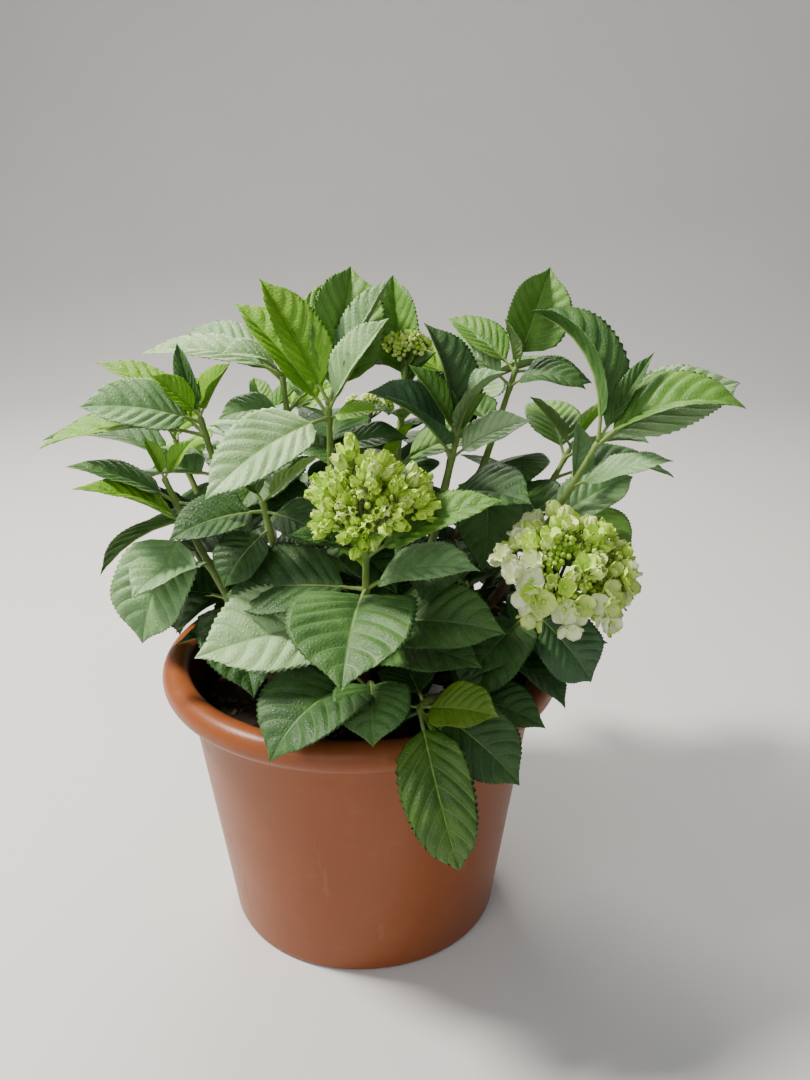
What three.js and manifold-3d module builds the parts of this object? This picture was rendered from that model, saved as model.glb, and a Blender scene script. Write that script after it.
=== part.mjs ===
// A bigleaf hydrangea in a round terracotta-coloured pot, in millimetres, +Z up.
// The origin is the centre of the pot's flat underside, and -Y is the side with the large green bloom.
import * as THREE from "three";
import { mergeVertices } from "three/addons/utils/BufferGeometryUtils.js";
import Module from "manifold-3d";

const wasm = await Module();
wasm.setup();

// Driving dimensions of the pot.
const POT_HEIGHT = 290;
const RIM_RADIUS = 200;
const FOOT_RADIUS = 140;
const WALL_TOP_RADIUS = 175;
const WALL_THICKNESS = 4;
const FLOOR_THICKNESS = 5;
const FOOT_EDGE = 6;
const FLOOR_CHAMFER = 4;
const RIM_DEPTH = 30;
const ROLL_FILLET = 5;
const ROLL_FROM = -50;
const ROLL_TO = 180;
const ROLL_STEPS = 5;
const POT_SIDES = 40;
const DRAIN_HOLES = 6;
const DRAIN_RADIUS = 7;
const DRAIN_RING_RADIUS = 92;

// Driving dimensions of the plant.
const SOIL_LEVEL = 246;
const FIT_GAP = 0.3;
const CANE_FOOT_RADIUS = 6.5;
const STEM_BASE_RADIUS = 4.4;
const STEM_TIP_RADIUS = 2.6;
const TAGGED_SHOOT = "low_front";
const TAG_PLACE = 0.5;
const TAG_INNER_RADIUS = 7;
const TAG_THICKNESS = 1;
const TAG_WIDTH = 20;
const TAG_TAIL = 28;
const LEAF_THICKNESS_SHARE = 0.014;
const MIDRIB_HALF = 0.3;
const STALK_SHARE = 0.17;
const STALK_RADIUS = 2.2;
const STALK_ROOT_RADIUS = 1.2;
const BLOOM_STALK_RADIUS = 3.4;
const LEAF_CLEARANCE = 8;
const LIMB_CLEARANCE = 9;
const OWN_CLEARANCE = 5;
const POT_CLEARANCE = 5;
const SOIL_CLEARANCE = 8;
const BLOOM_CLEARANCE = 6;
const JOIN_BELOW = 14;
const BEND_OUT = 0.52;
const BEND_UP = 0.36;
const LIMB_SAMPLES = 36;
const SAMPLE_ROWS = 12;
const OWN_SKIPPED = 24;

const rad = THREE.MathUtils.degToRad;

// Each shoot runs from its foot on the soil to its tip, with pairs of leaves at the drops below its tip.
// arch is the share of its height that its bend stands at, where that is not the usual one.
// turn is the azimuth of the youngest pair, and each older pair stands square to it.
// set holds the leaves whose place is known, by pair and side: azimuth, rise and length,
// then the droop to the tip, the roll about the stalk and the width as a share of the length.
const SHOOTS = [
  {
    name: "front_bloom", foot: [2, -42], tip: [5, -130, 456], turn: 150, drops: [20, 57, 101, 140],
    bloom: { kind: "bud", radius: 58, height: 54, stalk: 10, lean: [0, -0.12] },
    set: {
      "0a": [208, 37, 67, 30, -20, 0.5], "0b": [-16, 38, 113, 30, 24, 0.5],
      "1a": [-99, 9, 122, 50, 0, 0.88], "1b": [169, 8, 112, 35, -26, 0.74],
      "1c": [-34, 37, 100, 45, 20, 0.6], "2a": [212, 14, 140, 35, -30, 0.68],
      "2b": [-29, 19, 115, 36, 26, 0.72], "3b": [-39, 27, 108, 50, 20, 0.7],
    },
  },
  {
    name: "right_bloom", foot: [44, -32], tip: [178, -80, 382], turn: 60, drops: [28, 37, 71, 102],
    bloom: { kind: "open", radius: 67, height: 52, stalk: 10, lean: [0.34, -0.52] },
    set: {
      "0a": [-43, -28, 76, 50, 30, 0.85], "1a": [-128, 0, 96, 66, 0, 0.8],
      "1b": [206, 14, 84, 40, -10, 0.66], "2a": [6, -9, 80, 50, 20, 0.7],
    },
  },
  {
    name: "top_left", foot: [-22, -8], tip: [-27, -20, 550], turn: 15, drops: [2, 8, 15, 48, 92, 138, 184],
    set: {
      "0a": [172, 65, 109, 16, -50, 0.5], "0b": [26, 63, 111, 10, 4, 0.42],
      "1a": [-38, 58, 93, 14, 60, 0.5], "1b": [62, 57, 124, 24, 40, 0.62],
      "2a": [-135, -3, 126, 50, -26, 0.54], "2b": [163, 56, 118, 26, -30, 0.5],
      "2c": [-31, 20, 46, 20, 30, 0.6], "3a": [-16, 27, 66, 40, 24, 0.6],
    },
  },
  {
    name: "right_high", foot: [60, 6], tip: [228, -10, 508], turn: 0, drops: [2, 8, 54, 100, 148],
    set: {
      "0a": [206, 92, 134, 84, -62, 0.52], "0b": [6, 62, 83, 10, 40, 0.3],
      "1a": [-24, 46, 130, 70, 22, 0.6], "1b": [3, 34, 140, 42, 36, 0.54],
      "2a": [-35, 32, 90, 24, 26, 0.44], "2b": [65, 51, 62, 20, 60, 0.6], "3a": [12, 35, 91, 34, 30, 0.6],
    },
  },
  {
    name: "left_high", foot: [-60, -6], tip: [-148, 0, 534], turn: 40, drops: [2, 8, 21, 62, 106, 150],
    set: {
      "0a": [208, 49, 52, 14, -50, 0.62], "0b": [-34, 60, 55, 14, 50, 0.62],
      "1a": [211, 26, 98, 40, -42, 0.62], "1b": [143, 68, 67, 14, -60, 0.36],
      "2a": [194, 18, 132, 44, -6, 0.46], "2b": [170, 47, 109, 40, -20, 0.4],
    },
  },
  {
    name: "top_right", foot: [30, 22], tip: [157, 58, 566], turn: 60, drops: [2, 7, 22, 67, 115, 161],
    set: {
      "0a": [12, 71, 86, 12, 78, 0.8], "0b": [-120, 66, 48, 10, -60, 0.5],
      "1a": [10, 0, 78, 34, 34, 0.5], "1b": [154, 44, 78, 36, -30, 0.56],
      "2a": [-45, 35, 74, 80, 26, 0.6], "2b": [179, 44, 80, 44, -36, 0.54], "3a": [110, 24, 90, 40, 0, 0.6],
    },
  },
  {
    name: "mid_right", foot: [24, -16], tip: [92, -20, 518], turn: 110, drops: [2, 7, 24, 66, 112, 158],
    set: {
      "0a": [199, 62, 71, 20, -54, 0.46], "0b": [-19, 62, 43, 12, 54, 0.5],
      "1a": [183, 86, 98, 36, -46, 0.58], "1b": [-38, 79, 72, 60, 44, 0.6],
      "2a": [218, 56, 99, 44, -36, 0.62], "2b": [-14, 42, 72, 44, 36, 0.56],
      "3a": [-51, 29, 92, 46, 20, 0.78], "3b": [211, 22, 80, 40, -20, 0.6],
    },
  },
  {
    name: "rear_bloom", foot: [6, 30], tip: [47, 30, 575], turn: 30, drops: [27, 58, 104, 152, 200],
    bloom: { kind: "young", radius: 26, height: 17, stalk: 8, lean: [0, 0] },
    set: {
      "0a": [114, 75, 96, 18, -34, 0.56], "0b": [-43, 56, 46, 20, 40, 0.6],
      "1a": [6, 45, 67, 40, 40, 0.6],
    },
  },
  {
    name: "left_low", foot: [-58, -34], tip: [-178, -45, 489], turn: 165, drops: [3, 28, 54, 96, 136],
    set: {
      "0a": [120, 84, 42, 16, -50, 0.5], "0b": [0, 57, 40, 20, 50, 0.5],
      "1a": [189, 35, 88, 30, -10, 0.5], "1b": [-25, 1, 64, 24, 26, 0.7],
      "2a": [240, -29, 104, 60, -10, 0.76], "2b": [-148, 42, 100, 34, -14, 0.4],
    },
  },
  {
    name: "rear_left", foot: [-34, 24], tip: [-74, 60, 560], turn: 30, drops: [2, 8, 40, 86, 134, 180],
    set: {
      "0a": [223, 45, 62, 60, -30, 0.62], "0b": [187, 27, 120, 45, -20, 0.42],
      "1a": [162, 38, 103, 44, -26, 0.5], "1b": [25, 60, 108, 30, 30, 0.4],
      "2a": [218, 21, 64, 50, -30, 0.62],
    },
  },
  {
    name: "low_front", foot: [104, -64], tip: [48, -172, 314], turn: 175, drops: [2, 5, 13], arch: 0.95,
    set: {
      "0a": [-84, -18, 136, 92, 15, 0.47], "0b": [-58, -11, 39, 36, 0, 0.35],
      "1a": [-38, 20, 66, 26, 24, 0.8], "1b": [160, 14, 54, 40, 0, 0.6], "2a": [-46, -6, 96, 54, 24, 0.7],
    },
  },
  {
    name: "low_left", foot: [-14, -66], tip: [8, -150, 330], turn: 250, drops: [2, 16],
    set: {
      "0a": [-90, 17, 70, 78, 0, 0.95], "1a": [229, 26, 114, 84, -6, 0.8],
      "0b": [-30, 14, 49, 40, 10, 0.7],
    },
  },
  {
    name: "mid_left", foot: [-40, -34], tip: [-87, -70, 473], turn: 100, drops: [2, 12, 30, 74, 116],
    set: {
      "0a": [162, 59, 44, 30, -30, 0.6], "1a": [214, 10, 80, 44, -24, 0.66],
      "1b": [-28, 6, 62, 50, 24, 0.8], "2a": [226, -20, 60, 50, -16, 0.85],
    },
  },
  { name: "mid_low", foot: [44, -60], tip: [96, -96, 402], turn: 200, drops: [0, 14, 44, 84] },
  {
    name: "centre", foot: [-6, 2], tip: [22, 4, 470], turn: 70, drops: [0, 14, 40, 84, 128],
    set: { "0b": [160, 30, 85, 40, -20, 0.7] },
  },
  { name: "left_rear", foot: [-70, 22], tip: [-190, 96, 486], turn: 20, drops: [0, 14, 38, 84, 128, 170] },
  { name: "rear_right", foot: [32, 50], tip: [118, 146, 528], turn: 75, drops: [0, 14, 38, 86, 134, 180] },
  {
    name: "rear_far", foot: [0, 66], tip: [12, 182, 478], turn: 40, drops: [18, 50, 94, 138],
    bloom: { kind: "young", radius: 30, height: 19, stalk: 8, lean: [0, 0.2] },
  },
  { name: "rear_low", foot: [-34, 58], tip: [-104, 178, 478], turn: 130, drops: [0, 14, 38, 84, 130, 172] },
  { name: "right_rear", foot: [66, 40], tip: [226, 112, 466], turn: 10, drops: [0, 14, 38, 84, 128, 166] },
  { name: "rear_skirt", foot: [36, 82], tip: [70, 200, 388], turn: 60, drops: [0, 18, 50, 90] },
  { name: "left_skirt", foot: [-86, 4], tip: [-176, 64, 386], turn: 150, drops: [0, 18, 50, 88] },
  { name: "right_skirt", foot: [88, -10], tip: [196, 24, 372], turn: 100, drops: [0, 18, 50, 88] },
];

// The rule's own figures for each pair, from the youngest at the tip to the oldest.
const PAIR_SIZE = [0.46, 0.78, 1.0, 1.0, 0.94, 0.86, 0.8];
const PAIR_RISE = [60, 38, 20, 8, 2, -2, -4];
const PAIR_DROOP = [14, 34, 46, 52, 54, 54, 54];
const PAIR_WIDTH = [0.52, 0.6, 0.66, 0.7, 0.72, 0.72, 0.72];
const WIDTH_SCALE = 1.31;
const WIDTH_BASE = 0.55;
const WIDTH_TIP = 0.9;
const FOLD = 13;
const LEAF_LENGTH = 124;
const BLADE_RINGS = [0.17, 0.48, 0.8];
const SMALL_LEAF = 72;
const SMALL_BLADE_RINGS = [0.26, 0.68];

// A leaf that is blocked tries these turns of azimuth and rise, at each of these sizes.
// One that is blocked at all of them is left out.
const TURNS = [
  [0, 0], [0, 8], [0, -8], [10, 0], [-10, 0], [12, 10], [-12, 10], [12, -10], [-12, -10], [24, 0], [-24, 0],
  [0, 18], [0, -18], [26, 14], [-26, 14], [26, -14], [-26, -14], [44, 0], [-44, 0], [44, 14], [-44, 14],
  [66, 4], [-66, 4], [66, -12], [-66, -12],
];
const SHRINKS = [1, 0.84, 0.7];

// A small seeded generator, so that every run grows the same plant.
let seed = 20260;
function random(low, high) {
  seed = (seed * 16807) % 2147483647;
  return low + ((high - low) * seed) / 2147483647;
}

function solidOf(geometry) {
  const bare = geometry.clone();
  bare.deleteAttribute("normal");
  bare.deleteAttribute("uv");
  const merged = mergeVertices(bare, 1e-4);
  return new wasm.Manifold(
    new wasm.Mesh({
      numProp: 3,
      vertProperties: merged.attributes.position.array,
      triVerts: new Uint32Array(merged.index.array),
    }),
  );
}

function geometryOf(solid) {
  const mesh = solid.getMesh();
  const geometry = new THREE.BufferGeometry();
  geometry.setAttribute("position", new THREE.BufferAttribute(mesh.vertProperties, 3));
  geometry.setIndex(new THREE.BufferAttribute(mesh.triVerts, 1));
  geometry.computeVertexNormals();
  return geometry;
}

// A closed skin over rings of equal point count, with a fan at each end; a ring of one point is a tip.
function loft(rings) {
  const faces = [];
  let start = 0;
  rings.slice(1).forEach((high, r) => {
    const low = rings[r];
    const next = start + low.length;
    const n = Math.max(low.length, high.length);
    for (let i = 0; i < n; i++) {
      const j = (i + 1) % n;
      const a = start + (i % low.length);
      const b = start + (j % low.length);
      const c = next + (j % high.length);
      const d = next + (i % high.length);
      if (a !== b) faces.push(a, b, c);
      if (c !== d) faces.push(a, c, d);
    }
    start = next;
  });
  for (let i = 1; i + 1 < rings[0].length; i++) faces.push(0, i + 1, i);
  for (let i = 1; i + 1 < rings.at(-1).length; i++) faces.push(start, start + i, start + i + 1);
  const geometry = new THREE.BufferGeometry().setFromPoints(rings.flat());
  geometry.setIndex(faces);
  return geometry;
}

// A tapering round limb along a curve from one share of its length to another.
// foot, when it is given, is the level that the first ring is cut at.
function limb(curve, from, to, radiusFrom, radiusTo, steps, sides, foot) {
  const rings = Array.from({ length: steps + 1 }, (_, k) => {
    const at = THREE.MathUtils.lerp(from, to, k / steps);
    const radius = THREE.MathUtils.lerp(radiusFrom, radiusTo, k / steps);
    const p = curve.getPointAt(at);
    const along = curve.getTangentAt(at);
    const side = new THREE.Vector3(1, 0, 0).addScaledVector(along, -along.x).normalize();
    return Array.from({ length: sides }, (_, i) => {
      const turn = (2 * Math.PI * i) / sides;
      const out = side.clone().applyAxisAngle(along, turn);
      return p.clone().addScaledVector(out, radius);
    });
  });
  if (foot !== undefined) rings[0].forEach((p) => p.setZ(foot));
  return loft(rings);
}

// The pot: a thin tapering wall with a rolled rim, a flat floor and drain holes.
function potSolid() {
  const rollMiddle = (RIM_RADIUS + WALL_TOP_RADIUS - WALL_THICKNESS) / 2;
  const rollHalf = RIM_RADIUS - rollMiddle;
  const rollUnder = POT_HEIGHT - RIM_DEPTH;
  const profile = [
    new THREE.Vector2(0, 0),
    new THREE.Vector2(FOOT_RADIUS - FOOT_EDGE, 0),
    new THREE.Vector2(FOOT_RADIUS, FOOT_EDGE),
    new THREE.Vector2(WALL_TOP_RADIUS, rollUnder - ROLL_FILLET),
    new THREE.Vector2(WALL_TOP_RADIUS + ROLL_FILLET, rollUnder),
  ];
  for (let i = 0; i <= ROLL_STEPS; i++) {
    const turn = rad(THREE.MathUtils.lerp(ROLL_FROM, ROLL_TO, i / ROLL_STEPS));
    const high = POT_HEIGHT - rollHalf + rollHalf * Math.sin(turn);
    profile.push(new THREE.Vector2(rollMiddle + rollHalf * Math.cos(turn), high));
  }
  const chamfer = FLOOR_THICKNESS + FLOOR_CHAMFER;
  profile.push(new THREE.Vector2(wallInside(rollUnder), rollUnder));
  profile.push(new THREE.Vector2(wallInside(chamfer), chamfer));
  profile.push(new THREE.Vector2(FOOT_RADIUS - WALL_THICKNESS - FLOOR_CHAMFER, FLOOR_THICKNESS));
  profile.push(new THREE.Vector2(0, FLOOR_THICKNESS));
  const shell = solidOf(new THREE.LatheGeometry(profile, POT_SIDES).rotateX(Math.PI / 2));
  const drains = Array.from({ length: DRAIN_HOLES }, (_, i) => {
    const turn = (2 * Math.PI * i) / DRAIN_HOLES;
    const hole = new THREE.CylinderGeometry(DRAIN_RADIUS, DRAIN_RADIUS, 4 * FLOOR_THICKNESS, 8);
    hole.rotateX(Math.PI / 2);
    hole.translate(DRAIN_RING_RADIUS * Math.cos(turn), DRAIN_RING_RADIUS * Math.sin(turn), 0);
    return solidOf(hole);
  });
  return drains.reduce((pot, hole) => pot.subtract(hole), shell);
}

// The radius of the wall's inner face at a height.
function wallInside(z) {
  return THREE.MathUtils.lerp(FOOT_RADIUS, WALL_TOP_RADIUS, z / (POT_HEIGHT - RIM_DEPTH)) - WALL_THICKNESS;
}

// The potting soil fills the pot up to a level surface a little under the rim.
function soilSolid() {
  const gap = 2 * FIT_GAP;
  const bottom = FLOOR_THICKNESS + FIT_GAP;
  const inside = FOOT_RADIUS - WALL_THICKNESS;
  const profile = [
    new THREE.Vector2(0, bottom),
    new THREE.Vector2(inside - FLOOR_CHAMFER - gap, bottom),
    new THREE.Vector2(wallInside(FLOOR_THICKNESS + FLOOR_CHAMFER) - gap, FLOOR_THICKNESS + FLOOR_CHAMFER),
    new THREE.Vector2(wallInside(SOIL_LEVEL) - gap, SOIL_LEVEL),
    new THREE.Vector2(0, SOIL_LEVEL),
  ];
  return solidOf(new THREE.LatheGeometry(profile, POT_SIDES).rotateX(Math.PI / 2));
}

// A shoot bows outward from its foot and turns up towards its tip, or arches over when arch says so.
function shootCurve(shoot) {
  const foot = new THREE.Vector3(shoot.foot[0], shoot.foot[1], SOIL_LEVEL + FIT_GAP);
  const tip = new THREE.Vector3(...shoot.tip);
  const bend = foot.clone().lerp(tip, BEND_OUT);
  bend.z = THREE.MathUtils.lerp(foot.z, tip.z, shoot.arch || BEND_UP);
  return new THREE.QuadraticBezierCurve3(foot, bend, tip);
}

// A leaf's own frame: along its stalk, across its blade and up from its blade.
function leafFrame(azimuth, rise, roll) {
  const a = rad(azimuth);
  const e = rad(rise);
  const along = new THREE.Vector3(Math.cos(e) * Math.cos(a), Math.cos(e) * Math.sin(a), Math.sin(e));
  const across = new THREE.Vector3(-Math.sin(a), Math.cos(a), 0).applyAxisAngle(along, rad(roll));
  return { along, across, up: along.clone().cross(across) };
}

// Half the blade's width at a share of its length: broad below the middle, drawn out to a point.
function halfWidth(share) {
  return WIDTH_SCALE * Math.pow(share, WIDTH_BASE) * Math.pow(1 - share, WIDTH_TIP);
}

// A point of the blade: share runs from stalk to tip, across from -1 to 1, and lift stands off its face.
function bladePoint(leaf, share, across, lift) {
  const bend = rad(leaf.droop) * share;
  const forward = (leaf.length * Math.sin(bend)) / rad(leaf.droop);
  const down = (leaf.length * (1 - Math.cos(bend))) / rad(leaf.droop);
  const half = halfWidth(share) * leaf.width * leaf.length * across;
  const rise = Math.abs(half) * Math.tan(rad(FOLD)) + lift;
  return leaf.base
    .clone()
    .addScaledVector(leaf.frame.along, forward + rise * Math.sin(bend))
    .addScaledVector(leaf.frame.up, rise * Math.cos(bend) - down)
    .addScaledVector(leaf.frame.across, half);
}

// Points all over a leaf, from its stalk to its point, that its clearance is measured from.
function samplesOf(leaf) {
  const samples = [0.4, 0.7, 1].map((part) => leaf.node.clone().lerp(leaf.base, part));
  for (let step = 1; step < SAMPLE_ROWS; step++)
    for (const across of [-1, -0.66, -0.33, 0, 0.33, 0.66, 1])
      samples.push(bladePoint(leaf, step / SAMPLE_ROWS, across, 0));
  samples.push(bladePoint(leaf, 1, 0, 0));
  return samples;
}

// The pot, the soil and the blooms are tested by their own shapes, and limbs and leaves by their samples.
function meetsPot(p) {
  const r = Math.hypot(p.x, p.y);
  if (r < wallInside(SOIL_LEVEL) - SOIL_CLEARANCE) return p.z < SOIL_LEVEL + SOIL_CLEARANCE;
  return r < RIM_RADIUS + POT_CLEARANCE && p.z < POT_HEIGHT + POT_CLEARANCE;
}

function meetsBloom(p, bloom) {
  const off = p.clone().sub(bloom.middle);
  const high = off.dot(bloom.axis);
  const wide = Math.sqrt(Math.max(0, off.lengthSq() - high * high));
  return Math.hypot(wide / (bloom.radius + BLOOM_CLEARANCE), high / (bloom.height + BLOOM_CLEARANCE)) < 1;
}

const limbSamples = [];
const grownLeaves = [];
const blooms = [];

function isClear(leaf) {
  if (leaf.samples.some(meetsPot)) return false;
  for (const bloom of blooms) {
    if (leaf.known && bloom.shoot === leaf.shoot) continue;
    if (leaf.samples.some((p) => meetsBloom(p, bloom))) return false;
  }
  for (const s of limbSamples) {
    if (s.shoot === leaf.shoot) continue;
    if (leaf.samples.some((p) => p.distanceToSquared(s.at) < LIMB_CLEARANCE ** 2)) return false;
  }
  for (const other of grownLeaves) {
    if (other.middle.distanceTo(leaf.middle) > other.reach + leaf.reach + LEAF_CLEARANCE) continue;
    const own = other.shoot === leaf.shoot;
    if (own && leaf.known) continue;
    const least = (own ? OWN_CLEARANCE : LEAF_CLEARANCE) ** 2;
    const first = own ? OWN_SKIPPED : 0;
    for (let i = first; i < leaf.samples.length; i++)
      for (let j = first; j < other.samples.length; j++)
        if (leaf.samples[i].distanceToSquared(other.samples[j]) < least) return false;
  }
  return true;
}

function shapeLeaf(plan, turn, tilt, shrink) {
  const frame = leafFrame(plan.azimuth + turn, plan.rise + tilt, plan.roll);
  const length = plan.length * shrink;
  const leaf = {
    ...plan, frame, length,
    base: plan.node.clone().addScaledVector(frame.along, STALK_SHARE * length),
  };
  leaf.samples = samplesOf(leaf);
  leaf.middle = bladePoint(leaf, 0.5, 0, 0);
  leaf.reach = Math.max(...leaf.samples.map((p) => p.distanceTo(leaf.middle)));
  return leaf;
}

function growLeaf(plan) {
  for (const shrink of SHRINKS)
    for (const [turn, tilt] of TURNS) {
      const leaf = shapeLeaf(plan, turn, tilt, shrink);
      if (isClear(leaf)) {
        grownLeaves.push(leaf);
        return leaf;
      }
    }
  return null;
}

// One leaf as a closed blade: a four-sided stalk that widens into a thin folded blade with a point.
function leafSolid(leaf) {
  const { across, up } = leaf.frame;
  const half = (LEAF_THICKNESS_SHARE * leaf.length) / 2 + MIDRIB_HALF;
  const ring = (at, wide, high) => [
    at.clone().addScaledVector(across, -wide),
    at.clone().addScaledVector(up, high),
    at.clone().addScaledVector(across, wide),
    at.clone().addScaledVector(up, -high),
  ];
  const rings = [ring(leaf.node, STALK_ROOT_RADIUS, STALK_ROOT_RADIUS)];
  rings.push(ring(leaf.base, STALK_RADIUS, STALK_RADIUS));
  for (const share of leaf.length > SMALL_LEAF ? BLADE_RINGS : SMALL_BLADE_RINGS)
    rings.push([
      bladePoint(leaf, share, -1, 0),
      bladePoint(leaf, share, 0, half),
      bladePoint(leaf, share, 1, 0),
      bladePoint(leaf, share, 0, -half),
    ]);
  rings.push([bladePoint(leaf, 1, 0, 0)]);
  return solidOf(loft(rings.map((points) => points.slice().reverse())));
}

// A bloom: a domed core on a stalk, with florets standing out of it all over.
const BLOOM_SUNK = 0.35;
const FLORET_DEPTH = 0.86;
const FLORET_LIFT = 0.25;
const FLORET_DOME = 0.4;
const BLOOM_KINDS = {
  bud: { florets: 22, size: 16, high: 20, core: 0.8, spread: 96 },
  open: { florets: 22, size: 20, high: 20, core: 0.82, spread: 104 },
  young: { florets: 10, size: 9, high: 12, core: 0.66, spread: 84 },
};

function bloomShape(shoot, tip) {
  const spec = shoot.bloom;
  const axis = new THREE.Vector3(spec.lean[0], spec.lean[1], 1).normalize();
  const middle = tip.clone().addScaledVector(axis, spec.stalk + spec.height * BLOOM_SUNK);
  return { ...BLOOM_KINDS[spec.kind], ...spec, shoot: shoot.name, axis, middle, tip };
}

// The florets' places: a sunflower spiral over the dome, from its crown down under its edge.
function floretPlaces(bloom) {
  const side = new THREE.Vector3(1, 0, 0).addScaledVector(bloom.axis, -bloom.axis.x).normalize();
  const other = bloom.axis.clone().cross(side);
  const least = Math.cos(rad(bloom.spread));
  return Array.from({ length: bloom.florets }, (_, i) => {
    const tilt = Math.acos(1 - ((i + 0.5) / bloom.florets) * (1 - least));
    const turn = i * Math.PI * (3 - Math.sqrt(5));
    const out = side.clone().multiplyScalar(Math.cos(turn)).addScaledVector(other, Math.sin(turn));
    const at = bloom.middle
      .clone()
      .addScaledVector(out, bloom.radius * FLORET_DEPTH * Math.sin(tilt))
      .addScaledVector(bloom.axis, bloom.height * FLORET_DEPTH * Math.cos(tilt));
    const facing = out.multiplyScalar(Math.sin(tilt));
    facing.addScaledVector(bloom.axis, Math.cos(tilt) + FLORET_LIFT).normalize();
    return { at, facing };
  });
}

function floretSolid(place, size, high) {
  const side = new THREE.Vector3(0, 1, 0).addScaledVector(place.facing, -place.facing.y).normalize();
  const other = place.facing.clone().cross(side);
  const ring = [0, 1, 2, 3].map((i) =>
    place.at
      .clone()
      .addScaledVector(side, size * Math.cos((Math.PI * i) / 2))
      .addScaledVector(other, size * Math.sin((Math.PI * i) / 2)),
  );
  const low = place.at.clone().addScaledVector(place.facing, -high);
  const top = place.at.clone().addScaledVector(place.facing, size * FLORET_DOME);
  return solidOf(loft([[low], ring, [top]]));
}

function bloomSolid(bloom) {
  const core = solidOf(
    new THREE.SphereGeometry(1, 9, 5)
      .scale(bloom.radius * bloom.core, bloom.height * bloom.core, bloom.radius * bloom.core)
      .applyQuaternion(new THREE.Quaternion().setFromUnitVectors(new THREE.Vector3(0, 1, 0), bloom.axis))
      .translate(...bloom.middle.toArray()),
  );
  const root = bloom.tip.clone().addScaledVector(bloom.axis, -STEM_TIP_RADIUS);
  const line = new THREE.LineCurve3(root, bloom.middle);
  const stalk = solidOf(limb(line, 0, 1, BLOOM_STALK_RADIUS, BLOOM_STALK_RADIUS, 1, 5));
  const florets = floretPlaces(bloom).map((place) => floretSolid(place, bloom.size, bloom.high));
  return florets.reduce((all, floret) => all.add(floret), core.add(stalk));
}

// A plain tag of thin plastic: a band round one cane, with a flat tail that stands square to the cane.
function tagSolid(curve) {
  const profile = [
    new THREE.Vector2(TAG_INNER_RADIUS, -TAG_WIDTH / 2),
    new THREE.Vector2(TAG_INNER_RADIUS + TAG_THICKNESS, -TAG_WIDTH / 2),
    new THREE.Vector2(TAG_INNER_RADIUS + TAG_THICKNESS, TAG_WIDTH / 2),
    new THREE.Vector2(TAG_INNER_RADIUS, TAG_WIDTH / 2),
    new THREE.Vector2(TAG_INNER_RADIUS, -TAG_WIDTH / 2),
  ];
  const tail = new THREE.BoxGeometry(TAG_TAIL, TAG_THICKNESS, TAG_WIDTH);
  tail.translate(TAG_INNER_RADIUS + TAG_TAIL / 2, 0, 0);
  const along = curve.getTangentAt(TAG_PLACE);
  const middle = curve.getPointAt(TAG_PLACE);
  const level = along.clone().cross(new THREE.Vector3(0, 0, 1)).normalize();
  const frame = new THREE.Matrix4().makeBasis(level, along, level.clone().cross(along));
  const place = (geometry) => geometry.applyMatrix4(frame).translate(middle.x, middle.y, middle.z);
  return solidOf(place(new THREE.LatheGeometry(profile, 16))).add(solidOf(place(tail)));
}

const colours = {
  pot: new THREE.MeshStandardMaterial({ color: 0xb0603c, roughness: 0.55, metalness: 0 }),
  soil: new THREE.MeshStandardMaterial({ color: 0x2a1f18, roughness: 1, metalness: 0 }),
  bark: new THREE.MeshStandardMaterial({ color: 0x6b5a38, roughness: 0.85, metalness: 0 }),
  leaf: new THREE.MeshStandardMaterial({ color: 0x3f7a36, roughness: 0.5, metalness: 0 }),
  tag: new THREE.MeshStandardMaterial({ color: 0xd9d8d2, roughness: 0.4, metalness: 0 }),
};

const plant = new THREE.Group();

function addNode(name, solid, material) {
  const mesh = new THREE.Mesh(geometryOf(solid), material);
  mesh.name = name;
  plant.add(mesh);
}

addNode("pot", potSolid(), colours.pot);
addNode("soil", soilSolid(), colours.soil);

const grown = SHOOTS.map((shoot) => {
  const curve = shootCurve(shoot);
  const length = curve.getLength();
  const nodes = shoot.drops.map((drop) => curve.getPointAt(1 - drop / length));
  const join = 1 - (shoot.drops[shoot.drops.length - 1] + JOIN_BELOW) / length;
  for (let step = 0; step <= LIMB_SAMPLES; step++)
    limbSamples.push({ shoot: shoot.name, at: curve.getPointAt(step / LIMB_SAMPLES) });
  const bloom = shoot.bloom ? bloomShape(shoot, curve.getPoint(1)) : null;
  if (bloom) blooms.push(bloom);
  return { shoot, curve, length, nodes, join, bloom, leaves: [] };
});

const tagCurve = grown.find((each) => each.shoot.name === TAGGED_SHOOT).curve;
limbSamples.push({ shoot: "tag", at: tagCurve.getPointAt(TAG_PLACE) });

// Leaves whose place is known come first, and the rule's leaves fill in around them.
const plans = grown.flatMap(({ shoot, nodes }) =>
  nodes.flatMap((node, pair) =>
    ["a", "b", "c"].map((side) => {
      const known = shoot.set && shoot.set[pair + side];
      const byRule = [
        shoot.turn + 90 * pair + (side === "b" ? 180 : 0) + random(-10, 10),
        PAIR_RISE[pair] + random(-6, 6),
        LEAF_LENGTH * PAIR_SIZE[pair] * random(0.92, 1.1),
        PAIR_DROOP[pair] * random(0.8, 1.2),
        random(-16, 16),
        PAIR_WIDTH[pair],
      ];
      const [azimuth, rise, length, droop, roll, width] = known || byRule;
      const shape = { azimuth, rise, length, droop, roll, width };
      return { ...shape, node, side, shoot: shoot.name, known: Boolean(known) };
    }),
  ),
);
for (const plan of plans.filter((each) => each.known)) growLeaf(plan);
for (const plan of plans.filter((each) => !each.known && each.side !== "c")) growLeaf(plan);
for (const leaf of grownLeaves) grown.find((each) => each.shoot.name === leaf.shoot).leaves.push(leaf);

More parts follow.
